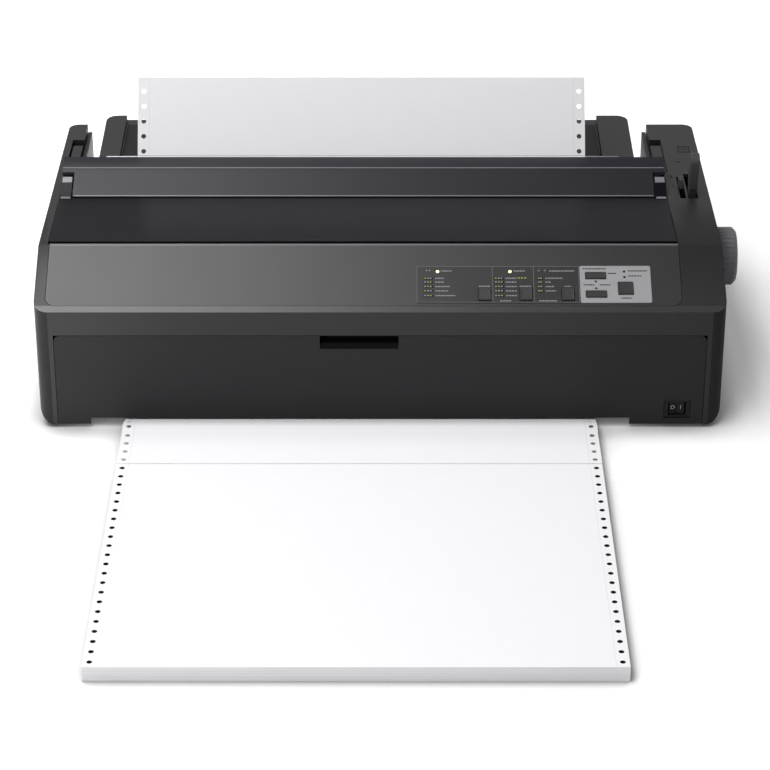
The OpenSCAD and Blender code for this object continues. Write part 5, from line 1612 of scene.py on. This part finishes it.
@dataclass
class Stage:
    """The camera, floor, world and lamps.

    Attributes:
        eye: Place of the camera in metres.
        tilt: Its tilt up from straight down, in degrees.
        lens: Its focal length in millimetres.
        sensor: Width of its picture in millimetres.
        sight: How far it sees, in metres.
        floor_size: Side of the floor in metres.
        floor_drop: How far the floor lies under the object's feet, in metres.
        floor_colour: The floor's own colour.
        floor_glow: White added to the seen floor, near the object and far from it.
        fade: Where that glow begins to grow and where it is full, in metres.
        contact: How far the object's contact shadow reaches, in millimetres.
        contact_share: Openness at which that shadow is deepest, and the floor's share there.
        mirrored: The floor's share as glossy surfaces see it, at the object's left and right end; this brighter left
            and darker right is a painted reflection.
        mirror_ends: Where those ends are, in metres.
        ambient: Strength of the soft light from all round.
        ceiling: Strength of the light overhead as glossy surfaces see it.
        overhead: Height in the sky where that light begins to fall, and where it has fallen.
        lamps: The lamps.
    """

    eye: Triple = (-0.00715, -1.90545, 1.064)
    tilt: float = 61.9
    lens: float = 128.38
    sensor: float = 36.0
    sight: float = 60.0
    floor_size: float = 14.0
    floor_drop: float = 0.0002
    floor_colour: Triple = (0.95, 0.95, 0.95)
    floor_glow: Pair = (0.19, 0.5)
    fade: Pair = (0.36, 0.95)
    contact: float = 28.0
    contact_share: Pair = (0.35, 0.25)
    mirrored: Pair = (1.5, 0.3)
    mirror_ends: Pair = (-0.35, 0.35)
    ambient: float = 0.23
    ceiling: float = 0.06
    overhead: Pair = (0.12, 0.65)
    lamps: tuple[Lamp, ...] = (
        Lamp("overhead softbox", (-0.68, -0.6, 2.05), (0.0, 0.0, 0.0), (0.9, 3.6), 68.0),
        Lamp("front left fill", (-1.4, -1.2, 0.5), (76.0, 0.0, -49.0), (0.7, 0.6), 6.0),
    )

    def build(self) -> None:
        """Builds the whole stage."""
        self.camera()
        self.world()
        self.floor()
        for lamp in self.lamps:
            lamp.build()
        bpy.context.scene.view_settings.view_transform = "Standard"

    def camera(self) -> None:
        """Places the camera."""
        deselect()
        bpy.ops.object.camera_add(location=self.eye, rotation=(math.radians(self.tilt), 0.0, 0.0))
        camera = bpy.context.object
        camera.data.lens = self.lens
        camera.data.sensor_width = self.sensor
        camera.data.clip_end = self.sight
        bpy.context.scene.camera = camera

    def rays(self, tree: bpy.types.NodeTree, *kinds: str) -> bpy.types.NodeSocket:
        """Adds nodes that give 1 to some kinds of rays and 0 to others."""
        path = tree.nodes.new("ShaderNodeLightPath")
        total = path.outputs[kinds[0]]
        for kind in kinds[1:]:
            add = tree.nodes.new("ShaderNodeMath")
            add.operation = "MAXIMUM"
            tree.links.new(total, add.inputs[0])
            tree.links.new(path.outputs[kind], add.inputs[1])
            total = add.outputs[0]
        return total

    def ramp(
        self, tree: bpy.types.NodeTree, value: bpy.types.NodeSocket, *ends: float | bpy.types.NodeSocket
    ) -> bpy.types.NodeSocket:
        """Maps a value linearly and gives the result.

        Args:
            tree: The node tree.
            value: The value.
            ends: The value's two ends, and then the result's two ends.

        Returns:
            The mapped value.
        """
        made = tree.nodes.new("ShaderNodeMapRange")
        tree.links.new(value, made.inputs["Value"])
        for socket, end in zip(("From Min", "From Max", "To Min", "To Max"), ends):
            if isinstance(end, bpy.types.NodeSocket):
                tree.links.new(end, made.inputs[socket])
            else:
                made.inputs[socket].default_value = end
        return made.outputs["Result"]

    def world(self) -> None:
        """Makes the world white to the eye, a soft grey light, and darker overhead to glossy surfaces."""
        world = bpy.data.worlds.new("studio")
        bpy.context.scene.world = world
        world.use_nodes = True
        tree = world.node_tree
        coordinates = tree.nodes.new("ShaderNodeTexCoord")
        split = tree.nodes.new("ShaderNodeSeparateXYZ")
        tree.links.new(coordinates.outputs["Generated"], split.inputs[0])
        mirrored = self.ramp(tree, split.outputs["Z"], *self.overhead, 1.0, self.ceiling)
        glossy = self.ramp(tree, self.rays(tree, "Is Glossy Ray"), 0.0, 1.0, self.ambient, mirrored)
        seen = self.rays(tree, "Is Camera Ray", "Is Transmission Ray")
        level = self.ramp(tree, seen, 0.0, 1.0, glossy, 1.0)
        background = tree.nodes["Background"]
        background.inputs["Color"].default_value = (1.0, 1.0, 1.0, 1.0)
        tree.links.new(level, background.inputs["Strength"])

    def floor(self) -> None:
        """Lays a matt white floor that keeps the shadow and grows white away from the object, and that glossy surfaces
        see brighter at the left and darker at the right: a painted reflection.
        """
        deselect()
        bpy.ops.mesh.primitive_plane_add(size=self.floor_size, location=(0.0, 0.0, -self.floor_drop))
        plane = settle()
        plane.name = "floor"
        material = bpy.data.materials.new("floor")
        material.use_nodes = True
        tree = material.node_tree
        shader = tree.nodes["Principled BSDF"]
        shader.inputs["Roughness"].default_value = 0.9
        shader.inputs["Specular IOR Level"].default_value = 0.0
        coordinates = tree.nodes.new("ShaderNodeTexCoord")
        length = tree.nodes.new("ShaderNodeVectorMath")
        length.operation = "LENGTH"
        tree.links.new(coordinates.outputs["Object"], length.inputs[0])
        far = self.ramp(tree, length.outputs["Value"], *self.fade, *self.floor_glow)
        seen = self.rays(tree, "Is Camera Ray", "Is Glossy Ray", "Is Transmission Ray")
        tree.links.new(self.ramp(tree, seen, 0.0, 1.0, 0.0, far), shader.inputs["Emission Strength"])
        corner = tree.nodes.new("ShaderNodeAmbientOcclusion")
        corner.inputs["Distance"].default_value = self.contact * MM
        split = tree.nodes.new("ShaderNodeSeparateXYZ")
        tree.links.new(coordinates.outputs["Object"], split.inputs[0])
        # Painted reflection: glossy surfaces see the floor brighter at the left end and darker at the right.
        side = self.ramp(tree, split.outputs["X"], *self.mirror_ends, *self.mirrored)
        share = self.ramp(tree, self.rays(tree, "Is Glossy Ray"), 0.0, 1.0, 1.0, side)
        openness, deepest = self.contact_share
        shade = self.ramp(tree, corner.outputs["AO"], openness, 1.0, deepest, share)
        for socket, colour in (("Base Color", self.floor_colour), ("Emission Color", (1.0, 1.0, 1.0))):
            dark = tree.nodes.new("ShaderNodeVectorMath")
            dark.operation = "SCALE"
            dark.inputs[0].default_value = colour
            tree.links.new(shade, dark.inputs["Scale"])
            tree.links.new(dark.outputs[0], shader.inputs[socket])
        plane.data.materials.append(material)


def main() -> None:
    """Builds the printer's looks."""
    logging.basicConfig(level=logging.INFO, format="%(name)s: %(message)s")
    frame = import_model()
    deselect()
    shop = Shop(frame["nodes"], Datum(), Effects())
    Stage().build()
    for part in (Case, FrontCover, ControlPanel, TopCovers, PaperGuide, Levers, Mechanism, Paper):
        part(shop).build()
        LOG.info("%s built", part.__name__)


if __name__ == "__main__":
    main()
